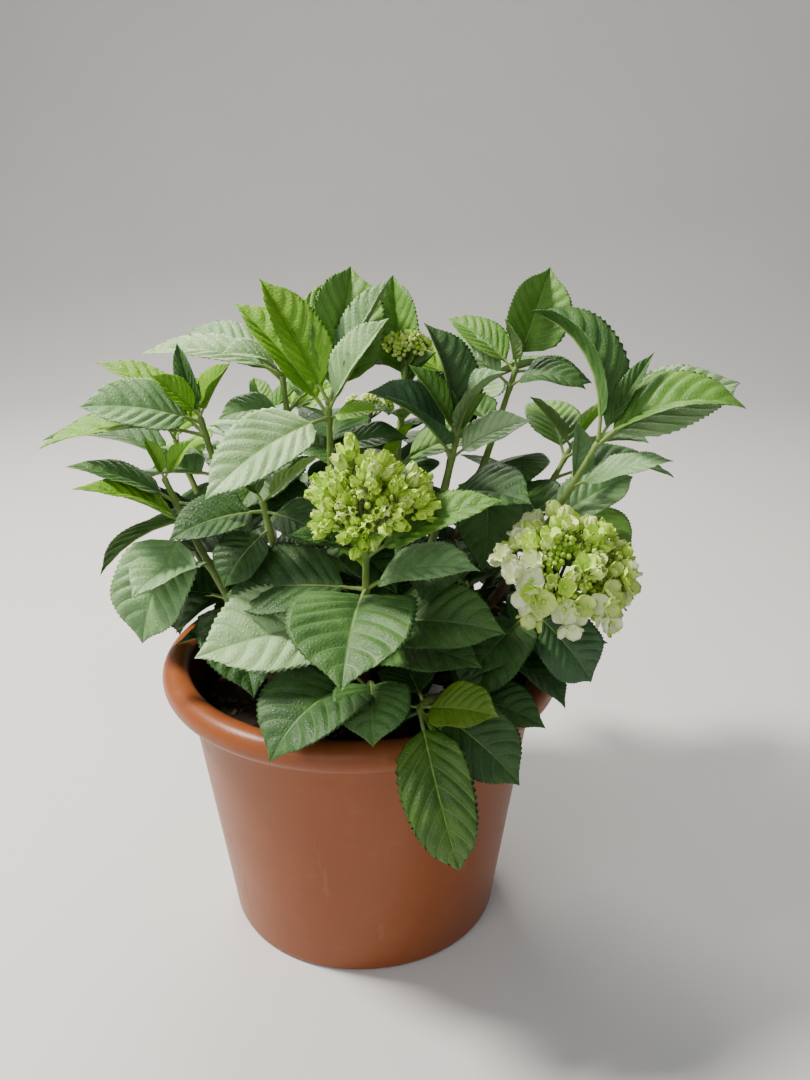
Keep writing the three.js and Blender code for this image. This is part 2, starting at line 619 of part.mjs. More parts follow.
for (const { shoot, curve, length, join, bloom, leaves } of grown) {
  const caneEnd = join - FIT_GAP / length;
  const cane = limb(curve, 0, caneEnd, CANE_FOOT_RADIUS, STEM_BASE_RADIUS, 3, 6, SOIL_LEVEL + FIT_GAP);
  addNode("cane_" + shoot.name, solidOf(cane), colours.bark);
  const stem = solidOf(limb(curve, join, 1, STEM_BASE_RADIUS, STEM_TIP_RADIUS, 4, 5));
  const leafy = leaves.reduce((all, leaf) => all.add(leafSolid(leaf)), stem);
  addNode("shoot_" + shoot.name, bloom ? leafy.add(bloomSolid(bloom)) : leafy, colours.leaf);
}

addNode("tag", tagSolid(tagCurve), colours.tag);

export default plant;
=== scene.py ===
# A bigleaf hydrangea in a terracotta-coloured pot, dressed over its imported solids, in metres, +Z up.
# The pot and soil come first, then canes, tag, stems, leaves and flower heads, and the studio last.
import math
import random

import bpy
import numpy as np
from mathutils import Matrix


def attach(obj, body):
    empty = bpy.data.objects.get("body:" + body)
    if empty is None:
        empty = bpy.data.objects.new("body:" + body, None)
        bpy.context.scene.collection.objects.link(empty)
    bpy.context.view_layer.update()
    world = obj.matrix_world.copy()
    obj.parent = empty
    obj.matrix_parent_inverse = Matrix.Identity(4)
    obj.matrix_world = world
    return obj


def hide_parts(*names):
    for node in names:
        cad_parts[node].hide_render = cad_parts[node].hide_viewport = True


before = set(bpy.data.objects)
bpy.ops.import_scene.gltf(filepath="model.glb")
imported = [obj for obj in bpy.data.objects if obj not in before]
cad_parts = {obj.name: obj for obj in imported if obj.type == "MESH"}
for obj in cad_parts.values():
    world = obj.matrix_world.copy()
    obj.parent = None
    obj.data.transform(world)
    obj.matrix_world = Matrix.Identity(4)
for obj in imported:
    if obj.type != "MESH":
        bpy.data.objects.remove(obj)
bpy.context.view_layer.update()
MM = 0.001

# The pot: a blow-moulded plastic tub with a thin tapering wall and a hollow rolled rim.
# It is spun from one outline, and the drain holes are cut through its floor.
POT_HEIGHT = 290 * MM
RIM_RADIUS = 200 * MM
FOOT_RADIUS = 140 * MM
WALL_TOP_RADIUS = 175 * MM
WALL_THICKNESS = 4 * MM
FLOOR_THICKNESS = 5 * MM
FOOT_EDGE = 6 * MM
RIM_DEPTH = 30 * MM
ROLL_FILLET = 5 * MM
DRAIN_HOLES = 6
DRAIN_RADIUS = 7 * MM
DRAIN_RING_RADIUS = 92 * MM
DRILL_SIDES = 24
DRILL_BOTTOM = -10 * MM
DRILL_TOP = 20 * MM
UNDERSIDE_RING = 1.28 * DRAIN_RING_RADIUS
INSIDE_FILLET = 4 * MM
POT_SIDES = 160
FOOT_STEPS = 6
WALL_STEPS = 16
ROLL_STEPS = 24
ROLL_START_DEGREES = -50
ROLL_TURN_DEGREES = 230
INSIDE_STEPS = 8
SHARP_DEGREES = 40


class Value:
    """A socket of a material, so that the maths of a finish is written as an expression."""

    def __init__(self, finish, socket):
        self.finish = finish
        self.socket = socket

    def math(self, operation, first, second=0.0):
        return self.finish.node("ShaderNodeMath", {"operation": operation}, {0: first, 1: second})

    def __add__(self, other):
        return self.math("ADD", self, other)

    __radd__ = __add__

    def __sub__(self, other):
        return self.math("SUBTRACT", self, other)

    def __rsub__(self, other):
        return self.math("SUBTRACT", other, self)

    def __mul__(self, other):
        return self.math("MULTIPLY", self, other)

    __rmul__ = __mul__

    def over(self, low, high):
        """0 up to low, 1 from high, and a smooth step between them."""
        settings = {"interpolation_type": "SMOOTHSTEP"}
        sockets = {"Value": self, "From Min": low, "From Max": high}
        return self.finish.node("ShaderNodeMapRange", settings, sockets)


class Finish:
    """A material under a plain name, with one method that adds any node to it."""

    def __init__(self, name, **values):
        self.material = bpy.data.materials.new(name)
        self.material.use_nodes = True
        self.tree = self.material.node_tree
        self.shader = self.tree.nodes["Principled BSDF"]
        for socket, value in values.items():
            self.set(socket.replace("_", " ").title().replace("Ior", "IOR"), value)

    def link(self, target, value):
        if isinstance(value, Value):
            self.tree.links.new(value.socket, target)
        elif isinstance(value, tuple) and len(value) == 3 and target.type == "RGBA":
            target.default_value = (*value, 1.0)
        else:
            target.default_value = value

    def node(self, kind, settings=None, sockets=None, output=0):
        added = self.tree.nodes.new(kind)
        for name, value in (settings or {}).items():
            setattr(added, name, value)
        for name, value in (sockets or {}).items():
            self.link(added.inputs[name], value)
        return Value(self, added.outputs[output])

    def set(self, socket, value):
        self.link(self.shader.inputs[socket], value)

    def place(self, x=1.0, y=1.0, z=1.0):
        """The point of the object that is shaded, stretched by each axis's factor."""
        point = self.node("ShaderNodeTexCoord", output=3)
        return self.node("ShaderNodeVectorMath", {"operation": "MULTIPLY"}, {0: point, 1: (x, y, z)})

    def noise(self, scale, detail=3.0, roughness=0.55, at=None):
        sockets = {"Scale": scale, "Detail": detail, "Roughness": roughness, "Vector": at or self.place()}
        return self.node("ShaderNodeTexNoise", {}, sockets)

    def cells(self, scale, feature="F1", at=None):
        settings = {"feature": feature}
        return self.node("ShaderNodeTexVoronoi", settings, {"Scale": scale, "Vector": at or self.place()})

    def mix(self, share, low, high):
        settings = {"data_type": "RGBA", "clamp_factor": True}
        return self.node("ShaderNodeMix", settings, {0: share, 6: low, 7: high}, output=2)

    def dressed(self, colour, roughness=None, relief=None, depth=0.0, strength=1.0):
        """The material, once its colour, roughness and raised skin are linked."""
        self.set("Base Color", colour)
        if roughness is not None:
            self.set("Roughness", roughness)
        if relief is not None:
            sockets = {"Height": relief, "Distance": depth, "Strength": strength}
            self.set("Normal", self.node("ShaderNodeBump", {}, sockets))
        return self.material


def pot_plastic():
    """Terracotta-coloured plastic: satin, a little chalky in patches, with fine scuffs and rub marks."""
    finish = Finish("pot_plastic", specular_ior_level=0.3)
    cloud = finish.noise(9, 5)
    chalk = finish.noise(38, 6, 0.7).over(0.5, 0.78)
    scuff = finish.noise(70, 4, 0.6, finish.place(1, 1, 0.16)).over(0.62, 0.74)
    speck = finish.cells(420).over(0.1, 0.16)
    clay = finish.mix(cloud, (0.2, 0.053, 0.014), (0.275, 0.077, 0.023))
    dusty = finish.mix(chalk * 0.2, clay, (0.36, 0.17, 0.085))
    worn = finish.mix(scuff * 0.2, dusty, (0.42, 0.2, 0.11))
    colour = finish.mix((1 - speck) * 0.5, worn, (0.15, 0.045, 0.022))
    roughness = 0.4 + chalk * 0.16 + scuff * 0.14 - cloud * 0.06
    return finish.dressed(colour, roughness, finish.noise(260, 3) * 0.4 + cloud + scuff * 0.3, 0.0012, 0.35)


def mesh_piece(name, points, faces, materials, choice=None, smooth=True):
    """One object from arrays: its points, its faces, and which of its materials each face takes."""
    mesh = bpy.data.meshes.new(name)
    mesh.from_pydata([tuple(p) for p in points], [], [tuple(f) for f in faces])
    for material in materials:
        mesh.materials.append(material)
    if choice is not None:
        mesh.polygons.foreach_set("material_index", np.asarray(choice, np.int32))
    mesh.polygons.foreach_set("use_smooth", np.full(len(mesh.polygons), smooth))
    mesh.update()
    piece = bpy.data.objects.new(name, mesh)
    bpy.context.scene.collection.objects.link(piece)
    return piece


def spin(outline, sides):
    """Points and faces of an outline of (radius, height) turned about +Z, closed at the axis."""
    points = []
    rings = []
    for radius, height in outline:
        count = 1 if radius < 1e-9 else sides
        turns = [2 * math.pi * k / count for k in range(count)]
        rings.append(list(range(len(points), len(points) + count)))
        points += [(radius * math.cos(t), radius * math.sin(t), height) for t in turns]
    faces = []
    for low, high in zip(rings, rings[1:]):
        for k in range(sides):
            corners = [low[k % len(low)], low[(k + 1) % len(low)]]
            corners += [high[(k + 1) % len(high)], high[k % len(high)]]
            faces.append(list(dict.fromkeys(corners)))
    return points, faces


def wall_inside(height):
    """The radius of the pot wall's inner face at a height."""
    share = height / (POT_HEIGHT - RIM_DEPTH)
    return FOOT_RADIUS + (WALL_TOP_RADIUS - FOOT_RADIUS) * share - WALL_THICKNESS


def pot_outline():
    roll_middle = (RIM_RADIUS + WALL_TOP_RADIUS - WALL_THICKNESS) / 2
    roll_half = RIM_RADIUS - roll_middle
    under = POT_HEIGHT - RIM_DEPTH
    outline = [(0, 0), (UNDERSIDE_RING, 0), (FOOT_RADIUS - FOOT_EDGE, 0)]
    for k in range(1, FOOT_STEPS):
        turn = math.pi / 2 * k / FOOT_STEPS
        out = FOOT_RADIUS - FOOT_EDGE + FOOT_EDGE * math.sin(turn)
        outline.append((out, FOOT_EDGE - FOOT_EDGE * math.cos(turn)))
    for k in range(WALL_STEPS + 1):
        share = k / WALL_STEPS
        height = FOOT_EDGE + (under - ROLL_FILLET - FOOT_EDGE) * share
        outline.append((FOOT_RADIUS + (WALL_TOP_RADIUS - FOOT_RADIUS) * share, height))
    outline.append((WALL_TOP_RADIUS + 0.3 * ROLL_FILLET, under - 0.3 * ROLL_FILLET))
    outline.append((WALL_TOP_RADIUS + ROLL_FILLET, under))
    for k in range(ROLL_STEPS + 1):
        turn = math.radians(ROLL_START_DEGREES + ROLL_TURN_DEGREES * k / ROLL_STEPS)
        high = POT_HEIGHT - roll_half + roll_half * math.sin(turn)
        outline.append((roll_middle + roll_half * math.cos(turn), high))
    for k in range(INSIDE_STEPS + 1):
        height = under + (FLOOR_THICKNESS + INSIDE_FILLET - under) * k / INSIDE_STEPS
        outline.append((wall_inside(height), height))
    outline.append((FOOT_RADIUS - WALL_THICKNESS - INSIDE_FILLET, FLOOR_THICKNESS))
    outline.append((0, FLOOR_THICKNESS))
    return outline


def cut(piece, cutter):
    """Cuts one mesh object out of another, and throws the cutter away."""
    modifier = piece.modifiers.new("cut", "BOOLEAN")
    modifier.operation = "DIFFERENCE"
    modifier.solver = "EXACT"
    modifier.object = cutter
    bpy.context.view_layer.update()
    evaluated = piece.evaluated_get(bpy.context.evaluated_depsgraph_get())
    mesh = bpy.data.meshes.new_from_object(evaluated)
    piece.modifiers.clear()
    piece.data = mesh
    bpy.data.objects.remove(cutter)


def make_pot():
    points, faces = spin(pot_outline(), POT_SIDES)
    pot = mesh_piece("pot_shell", points, faces, [pot_plastic()])
    side = [(0, DRILL_BOTTOM), (DRAIN_RADIUS, DRILL_BOTTOM), (DRAIN_RADIUS, DRILL_TOP), (0, DRILL_TOP)]
    drill, drill_faces = spin(side, DRILL_SIDES)
    for k in range(DRAIN_HOLES):
        turn = 2 * math.pi * k / DRAIN_HOLES
        place = (DRAIN_RING_RADIUS * math.cos(turn), DRAIN_RING_RADIUS * math.sin(turn), 0)
        cut(pot, mesh_piece("drill", np.array(drill) + place, drill_faces, []))
    pot.data.polygons.foreach_set("use_smooth", np.ones(len(pot.data.polygons), bool))
    pot.data.set_sharp_from_angle(angle=math.radians(SHARP_DEGREES))
    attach(pot, "root")
    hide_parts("pot")


make_pot()

# The potting soil: moist dark mix with lumps, filled to a little under the rim, and bark chips on it.
# The lumps are in the mesh, and each chip is a small split block that is half sunk in the surface.
SOIL_LEVEL = 246 * MM
SOIL_RINGS = 46
SOIL_SIDES = 150
SOIL_EDGE = 6 * MM
SOIL_TO_WALL = 0.6 * MM
SOIL_TO_FLOOR = 0.4 * MM
LUMP_HEIGHT = 4 * MM
GRAIN_HEIGHT = 0.9
CHIPS = 420
CHIP_TO_EDGE = 8 * MM
CHIP_BLOCK = ((0, 1, 2, 3), (7, 6, 5, 4), (0, 4, 5, 1), (1, 5, 6, 2), (2, 6, 7, 3), (3, 7, 4, 0))
soil_random = random.Random(11)


def potting_soil():
    finish = Finish("potting_soil", specular_ior_level=0.25)
    crumb = finish.noise(90, 8, 0.7)
    fibre = finish.noise(34, 5, 0.6)
    grit = finish.cells(240).over(0.05, 0.13)
    damp = finish.mix(crumb.over(0.35, 0.7), (0.006, 0.0045, 0.004), (0.034, 0.022, 0.015))
    dry = finish.mix(fibre.over(0.52, 0.72) * 0.6, damp, (0.07, 0.047, 0.031))
    colour = finish.mix((1 - grit) * 0.35, dry, (0.16, 0.13, 0.1))
    return finish.dressed(colour, 0.7 + crumb * 0.28, crumb + fibre * 0.6, 0.003, 0.9)


def bark_chip():
    finish = Finish("bark_chip", specular_ior_level=0.25)
    grain = finish.noise(130, 5, 0.6, finish.place(0.25, 1, 1))
    colour = finish.mix(grain, (0.018, 0.01, 0.006), (0.12, 0.065, 0.036))
    return finish.dressed(colour, 0.8 - grain * 0.15, grain, 0.0012, 0.8)


def lump(x, y):
    """The height of the soil's surface at a place, above its level."""
    wide = math.sin(x * 46 + 1.3) * math.cos(y * 53 - 0.4) + 0.6 * math.sin(x * 118 - y * 91)
    fine = math.sin(x * 270 + 2 * math.cos(y * 190)) * math.cos(y * 310 - x * 60)
    return LUMP_HEIGHT * (0.34 * wide + 0.22 * fine - 0.25)


def make_soil(edge):
    bottom = FLOOR_THICKNESS + SOIL_TO_FLOOR
    foot = FOOT_RADIUS - WALL_THICKNESS - SOIL_EDGE
    outline = [(0, bottom), (foot, bottom), (edge, SOIL_LEVEL - SOIL_EDGE)]
    outline += [(edge * (1 - k / SOIL_RINGS), SOIL_LEVEL) for k in range(SOIL_RINGS + 1)]
    points, faces = spin(outline, SOIL_SIDES)
    shaped = []
    for x, y, z in points:
        top = z > SOIL_LEVEL - 1 * MM
        rough = lump(x, y) + soil_random.uniform(-GRAIN_HEIGHT, GRAIN_HEIGHT) * MM if top else 0.0
        shaped.append((x, y, z + rough))
    soil = mesh_piece("soil_fill", shaped, faces, [potting_soil()])
    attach(soil, "root")
    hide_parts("soil")


def chip_corners(edge):
    """The eight corners of one chip, a split block that lies at any angle on the soil."""
    radius = (edge - CHIP_TO_EDGE) * math.sqrt(soil_random.random())
    turn = soil_random.uniform(0, 2 * math.pi)
    middle = np.array((radius * math.cos(turn), radius * math.sin(turn), 0))
    middle[2] = SOIL_LEVEL + lump(middle[0], middle[1])
    length = soil_random.uniform(2, 7) * MM
    size = (length, length * soil_random.uniform(0.35, 0.7), soil_random.uniform(0.8, 2.0) * MM)
    yaw = soil_random.uniform(0, 2 * math.pi)
    pitch = soil_random.uniform(-0.5, 0.5)
    along = np.array((math.cos(yaw) * math.cos(pitch), math.sin(yaw) * math.cos(pitch), math.sin(pitch)))
    across = np.array((-math.sin(yaw), math.cos(yaw), 0))
    up = np.cross(along, across)
    corners = []
    for high in (-1, 1):
        for a, b in ((-1, -1), (1, -1), (1, 1), (-1, 1)):
            taper = soil_random.uniform(0.55, 1.0)
            corner = along * a * size[0] * taper + across * b * size[1] * taper + up * high * size[2]
            corners.append(middle + corner)
    return corners


def make_chips(edge):
    points = []
    faces = []
    for _ in range(CHIPS):
        faces += [[len(points) + i for i in face] for face in CHIP_BLOCK]
        points += chip_corners(edge)
    chips = mesh_piece("soil_chips", points, faces, [bark_chip()], smooth=False)
    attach(chips, "root")


soil_radius = wall_inside(SOIL_LEVEL) - SOIL_TO_WALL
make_soil(soil_radius)
make_chips(soil_radius)

# The canes: last year's wood, one to a shoot, thin bark over a green-brown core with a ring at each joint.
# Every shoot bows outward from its foot on the soil and turns up towards its tip, as in the solids.
# A shoot has a foot, a tip, the azimuth of its youngest pair and the drops below its tip where pairs grow.
# Under leaves are those whose place is known: azimuth, rise, length, droop, roll, width share and tint.
# A leaf's tint can be painted light: the palest greens painted sheen, the darkest painted shade, the lime
# partly painted glow.
SHOOTS = {
    "front_bloom": {
        "foot": (2, -42), "tip": (5, -130, 456), "turn": 150, "drops": (20, 57, 101, 140),
        "bloom": ("bud", 58, 54, 10, (0, -0.12)),
        "leaves": {
            "0a": (208, 37, 67, 30, -20, 0.5, "deep"), "0b": (-16, 38, 113, 30, 24, 0.5, "fresh"),
            "1a": (-99, 9, 122, 50, 0, 0.88, "leaf"), "1b": (169, 8, 112, 35, -26, 0.74, "deep"),
            "1c": (-34, 37, 100, 45, 20, 0.6, "frosted"), "2a": (212, 14, 140, 35, -30, 0.68, "silver"),
            "2b": (-29, 19, 115, 36, 26, 0.72, "leaf"), "3b": (-39, 27, 108, 50, 20, 0.7, "leaf"),
        },
    },
    "right_bloom": {
        "foot": (44, -32), "tip": (178, -80, 382), "turn": 60, "drops": (28, 37, 71, 102),
        "bloom": ("open", 67, 52, 10, (0.34, -0.52)),
        "leaves": {
            "0a": (-43, -28, 76, 50, 30, 0.85, "blue"), "1a": (-128, 0, 96, 66, 0, 0.8, "deep"),
            "1b": (206, 14, 84, 40, -10, 0.66, "deep"), "2a": (6, -9, 80, 50, 20, 0.7, "blue"),
        },
    },
    "top_left": {
        "foot": (-22, -8), "tip": (-27, -20, 550), "turn": 15, "drops": (2, 8, 15, 48, 92, 138, 184),
        "leaves": {
            "0a": (172, 65, 109, 16, -50, 0.5, "bright"), "0b": (26, 63, 111, 10, 4, 0.42, "frosted"),
            "1a": (-38, 58, 93, 14, 60, 0.5, "silver"), "1b": (62, 57, 124, 24, 40, 0.62, "fresh"),
            "2a": (-135, -3, 126, 50, -26, 0.54, "silver"), "2b": (163, 56, 118, 26, -30, 0.5, "bright"),
            "2c": (-31, 20, 46, 20, 30, 0.6, "bright"), "3a": (-16, 27, 66, 40, 24, 0.6, "deep"),
        },
    },
    "right_high": {
        "foot": (60, 6), "tip": (228, -10, 508), "turn": 0, "drops": (2, 8, 54, 100, 148),
        "leaves": {
            "0a": (206, 92, 134, 84, -62, 0.52, "leaf"), "0b": (6, 62, 83, 10, 40, 0.3, "leaf"),
            "1a": (-24, 46, 130, 70, 22, 0.6, "fresh"), "1b": (3, 34, 140, 42, 36, 0.54, "silver"),
            "2a": (-35, 32, 90, 24, 26, 0.44, "frosted"), "2b": (65, 51, 62, 20, 60, 0.6, "frosted"),
            "3a": (12, 35, 91, 34, 30, 0.6, "frosted"),
        },
    },
    "left_high": {
        "foot": (-60, -6), "tip": (-148, 0, 534), "turn": 40, "drops": (2, 8, 21, 62, 106, 150),
        "leaves": {
            "0a": (208, 49, 52, 14, -50, 0.62, "bright"), "0b": (-34, 60, 55, 14, 50, 0.62, "bright"),
            "1a": (211, 26, 98, 40, -42, 0.62, "frosted"), "1b": (143, 68, 67, 14, -60, 0.36, "deep"),
            "2a": (194, 18, 132, 44, -6, 0.46, "bright"), "2b": (170, 47, 109, 40, -20, 0.4, "bright"),
        },
    },
    "top_right": {
        "foot": (30, 22), "tip": (157, 58, 566), "turn": 60, "drops": (2, 7, 22, 67, 115, 161),
        "leaves": {
            "0a": (12, 71, 86, 12, 78, 0.8, "fresh"), "0b": (-120, 66, 48, 10, -60, 0.5, "fresh"),
            "1a": (10, 0, 78, 34, 34, 0.5, "leaf"), "1b": (154, 44, 78, 36, -30, 0.56, "fresh"),
            "2a": (-45, 35, 74, 80, 26, 0.6, "deep"), "2b": (179, 44, 80, 44, -36, 0.54, "silver"),
            "3a": (110, 24, 90, 40, 0, 0.6, "leaf"),
        },
    },
    "mid_right": {
        "foot": (24, -16), "tip": (92, -20, 518), "turn": 110, "drops": (2, 7, 24, 66, 112, 158),
        "leaves": {
            "0a": (199, 62, 71, 20, -54, 0.46, "fresh"), "0b": (-19, 62, 43, 12, 54, 0.5, "fresh"),
            "1a": (183, 86, 98, 36, -46, 0.58, "deep"), "1b": (-38, 79, 72, 60, 44, 0.6, "frosted"),
            "2a": (218, 56, 99, 44, -36, 0.62, "blue"), "2b": (-14, 42, 72, 44, 36, 0.56, "silver"),
            "3a": (-51, 29, 92, 46, 20, 0.78, "deep"), "3b": (211, 22, 80, 40, -20, 0.6, "deep"),
        },
    },
    "rear_bloom": {
        "foot": (6, 30), "tip": (47, 30, 575), "turn": 30, "drops": (27, 58, 104, 152, 200),
        "bloom": ("young", 26, 17, 8, (0, 0)),
        "leaves": {
            "0a": (114, 75, 96, 18, -34, 0.56, "fresh"), "0b": (-43, 56, 46, 20, 40, 0.6, "leaf"),
            "1a": (6, 45, 67, 40, 40, 0.6, "deep"),
        },
    },
    "left_low": {
        "foot": (-58, -34), "tip": (-178, -45, 489), "turn": 165, "drops": (3, 28, 54, 96, 136),
        "leaves": {
            "0a": (120, 84, 42, 16, -50, 0.5, "bright"), "0b": (0, 57, 40, 20, 50, 0.5, "bright"),
            "1a": (189, 35, 88, 30, -10, 0.5, "leaf"), "1b": (-25, 1, 64, 24, 26, 0.7, "deep"),
            "2a": (240, -29, 104, 60, -10, 0.76, "frosted"), "2b": (-148, 42, 100, 34, -14, 0.4, "bright"),
        },
    },
    "rear_left": {
        "foot": (-34, 24), "tip": (-74, 60, 560), "turn": 30, "drops": (2, 8, 40, 86, 134, 180),
        "leaves": {
            "0a": (223, 45, 62, 60, -30, 0.62, "silver"), "0b": (187, 27, 120, 45, -20, 0.42, "silver"),
            "1a": (162, 38, 103, 44, -26, 0.5, "frosted"), "1b": (25, 60, 108, 30, 30, 0.4, "fresh"),
            "2a": (218, 21, 64, 50, -30, 0.62, "frosted"),
        },
    },
    "low_front": {
        "foot": (104, -64), "tip": (48, -172, 314), "turn": 175, "drops": (2, 5, 13), "arch": 0.95,
        "leaves": {
            "0a": (-84, -18, 136, 92, 15, 0.47, "glossy"), "0b": (-58, -11, 39, 36, 0, 0.35, "fresh"),
            "1a": (-38, 20, 66, 26, 24, 0.8, "olive"), "1b": (160, 14, 54, 40, 0, 0.6, "deep"),
            "2a": (-46, -6, 96, 54, 24, 0.7, "deep"),
        },
    },
    "low_left": {
        "foot": (-14, -66), "tip": (8, -150, 330), "turn": 250, "drops": (2, 16),
        "leaves": {
            "0a": (-90, 17, 70, 78, 0, 0.95, "leaf"), "1a": (229, 26, 114, 84, -6, 0.8, "deep"),
            "0b": (-30, 14, 49, 40, 10, 0.7, "leaf"),
        },
    },
    "mid_left": {
        "foot": (-40, -34), "tip": (-87, -70, 473), "turn": 100, "drops": (2, 12, 30, 74, 116),
        "leaves": {
            "0a": (162, 59, 44, 30, -30, 0.6, "leaf"), "1a": (214, 10, 80, 44, -24, 0.66, "deep"),
            "1b": (-28, 6, 62, 50, 24, 0.8, "deep"), "2a": (226, -20, 60, 50, -16, 0.85, "deep"),
        },
    },
    "mid_low": {"foot": (44, -60), "tip": (96, -96, 402), "turn": 200, "drops": (0, 14, 44, 84)},
    "centre": {
        "foot": (-6, 2), "tip": (22, 4, 470), "turn": 70, "drops": (0, 14, 40, 84, 128),
        "leaves": {"0b": (160, 30, 85, 40, -20, 0.7, "leaf")},
    },
    "left_rear": {"foot": (-70, 22), "tip": (-190, 96, 486), "turn": 20, "drops": (0, 14, 38, 84, 128, 170)},
    "rear_right": {"foot": (32, 50), "tip": (118, 146, 528), "turn": 75, "drops": (0, 14, 38, 86, 134, 180)},
    "rear_far": {
        "foot": (0, 66), "tip": (12, 182, 478), "turn": 40, "drops": (18, 50, 94, 138),
        "bloom": ("young", 30, 19, 8, (0, 0.2)),
    },
    "rear_low": {"foot": (-34, 58), "tip": (-104, 178, 478), "turn": 130, "drops": (0, 14, 38, 84, 130, 172)},
    "right_rear": {"foot": (66, 40), "tip": (226, 112, 466), "turn": 10, "drops": (0, 14, 38, 84, 128, 166)},
    "rear_skirt": {"foot": (36, 82), "tip": (70, 200, 388), "turn": 60, "drops": (0, 18, 50, 90)},
    "left_skirt": {"foot": (-86, 4), "tip": (-176, 64, 386), "turn": 150, "drops": (0, 18, 50, 88)},
    "right_skirt": {"foot": (88, -10), "tip": (196, 24, 372), "turn": 100, "drops": (0, 18, 50, 88)},
}
SOIL_MM = 246
FIT_GAP = 0.3
BEND_OUT = 0.52
BEND_UP = 0.36
JOIN_BELOW = 14
CANE_FOOT_RADIUS = 6.5
STEM_BASE_RADIUS = 4.4
CURVE_STEPS = 200
CANE_SIDES = 20
CANE_RINGS = 44
CANE_JOINT_SPACING = 55
KNUCKLE_HEIGHT = 0.9
KNUCKLE_REACH = 3.2
BARK_RIDGE = 0.35
BARK_INSET = 0.3
cane_random = random.Random(5)


class Shoot:
    """One shoot's line in millimetres, measured along its length as the solids' line is."""

    def __init__(self, name, spec):
        self.name = name
        self.spec = spec
        foot = np.array((*spec["foot"], SOIL_MM + FIT_GAP), float)
        tip = np.array(spec["tip"], float)
        bend = foot + (tip - foot) * BEND_OUT
        bend[2] = foot[2] + (tip[2] - foot[2]) * spec.get("arch", BEND_UP)
        self.controls = (foot, bend, tip)
        walked = [self.point(k / CURVE_STEPS) for k in range(CURVE_STEPS + 1)]
        steps = np.linalg.norm(np.diff(walked, axis=0), axis=1)
        self.lengths = np.concatenate(([0.0], np.cumsum(steps)))
        self.length = self.lengths[-1]
        self.nodes = [self.at(1 - drop / self.length) for drop in spec["drops"]]
        self.join = 1 - (spec["drops"][-1] + JOIN_BELOW) / self.length

    def point(self, t):
        foot, bend, tip = self.controls
        return foot * (1 - t) ** 2 + bend * 2 * t * (1 - t) + tip * t * t

    def share(self, u):
        return np.interp(u * self.length, self.lengths, np.arange(CURVE_STEPS + 1) / CURVE_STEPS)

    def at(self, u):
        return self.point(self.share(u))

    def along(self, u):
        t = self.share(u)
        ahead = self.point(min(1.0, t + 1e-4)) - self.point(max(0.0, t - 1e-4))
        return ahead / np.linalg.norm(ahead)


class Heap:
    """Points and faces of many like pieces in millimetres, gathered into one mesh."""

    def __init__(self):
        self.points = []
        self.faces = []
        self.choice = []
        self.count = 0

    def add(self, points, faces, choice=0):
        self.faces += [[i + self.count for i in face] for face in faces]
        self.choice += list(choice) if hasattr(choice, "__len__") else [choice] * len(faces)
        self.points.append(np.asarray(points, float))
        self.count += len(points)

    def piece(self, name, materials, slot, smooth=True):
        points = np.concatenate(self.points) * MM
        made = mesh_piece(name, points, self.faces, materials, self.choice, smooth)
        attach(made, "root")
        return made


def unit(v):
    return v / np.linalg.norm(v)


def sides_of(along):
    """Two directions square to a line and to each other."""
    side = np.array((1.0, 0.0, 0.0)) - along * along[0]
    if np.linalg.norm(side) < 0.1:
        side = np.array((0.0, 1.0, 0.0)) - along * along[1]
    side = unit(side)
    return side, np.cross(along, side)


def tube(middles, radii, sides, relief=None):
    """Points and faces of a closed tube along a line, with its skin raised by relief(ring, side)."""
    middles = np.asarray(middles, float)
    points = []
    for k, middle in enumerate(middles):
        along = unit(middles[min(k + 1, len(middles) - 1)] - middles[max(k - 1, 0)])
        side, other = sides_of(along)
        for i in range(sides):
            turn = 2 * math.pi * i / sides
            out = radii[k] + (relief(k, i) if relief else 0.0)
            points.append(middle + out * (side * math.cos(turn) + other * math.sin(turn)))
    faces = [list(range(sides))[::-1], list(range(len(points) - sides, len(points)))]
    for k in range(len(middles) - 1):
        for i in range(sides):
            j = (i + 1) % sides
            faces.append([k * sides + i, k * sides + j, (k + 1) * sides + j, (k + 1) * sides + i])
    return points, faces


def cane_bark():
    """Thin greyish bark that splits lengthways, with the green-brown wood in the splits."""
    finish = Finish("cane_bark", specular_ior_level=0.3)
    strip = finish.noise(150, 5, 0.6, finish.place(1, 1, 0.12))
    patch = finish.noise(28, 4)
    fleck = finish.cells(300, at=finish.place(1, 1, 0.5)).over(0.12, 0.2)
    brown = finish.mix(strip, (0.05, 0.032, 0.018), (0.24, 0.165, 0.1))
    green = finish.mix(patch.over(0.5, 0.7) * 0.55, brown, (0.11, 0.13, 0.04))
    colour = finish.mix((1 - fleck) * 0.5, green, (0.06, 0.028, 0.02))
    return finish.dressed(colour, 0.85 - strip * 0.25, strip + (1 - fleck) * 0.3, 0.0012, 0.8)


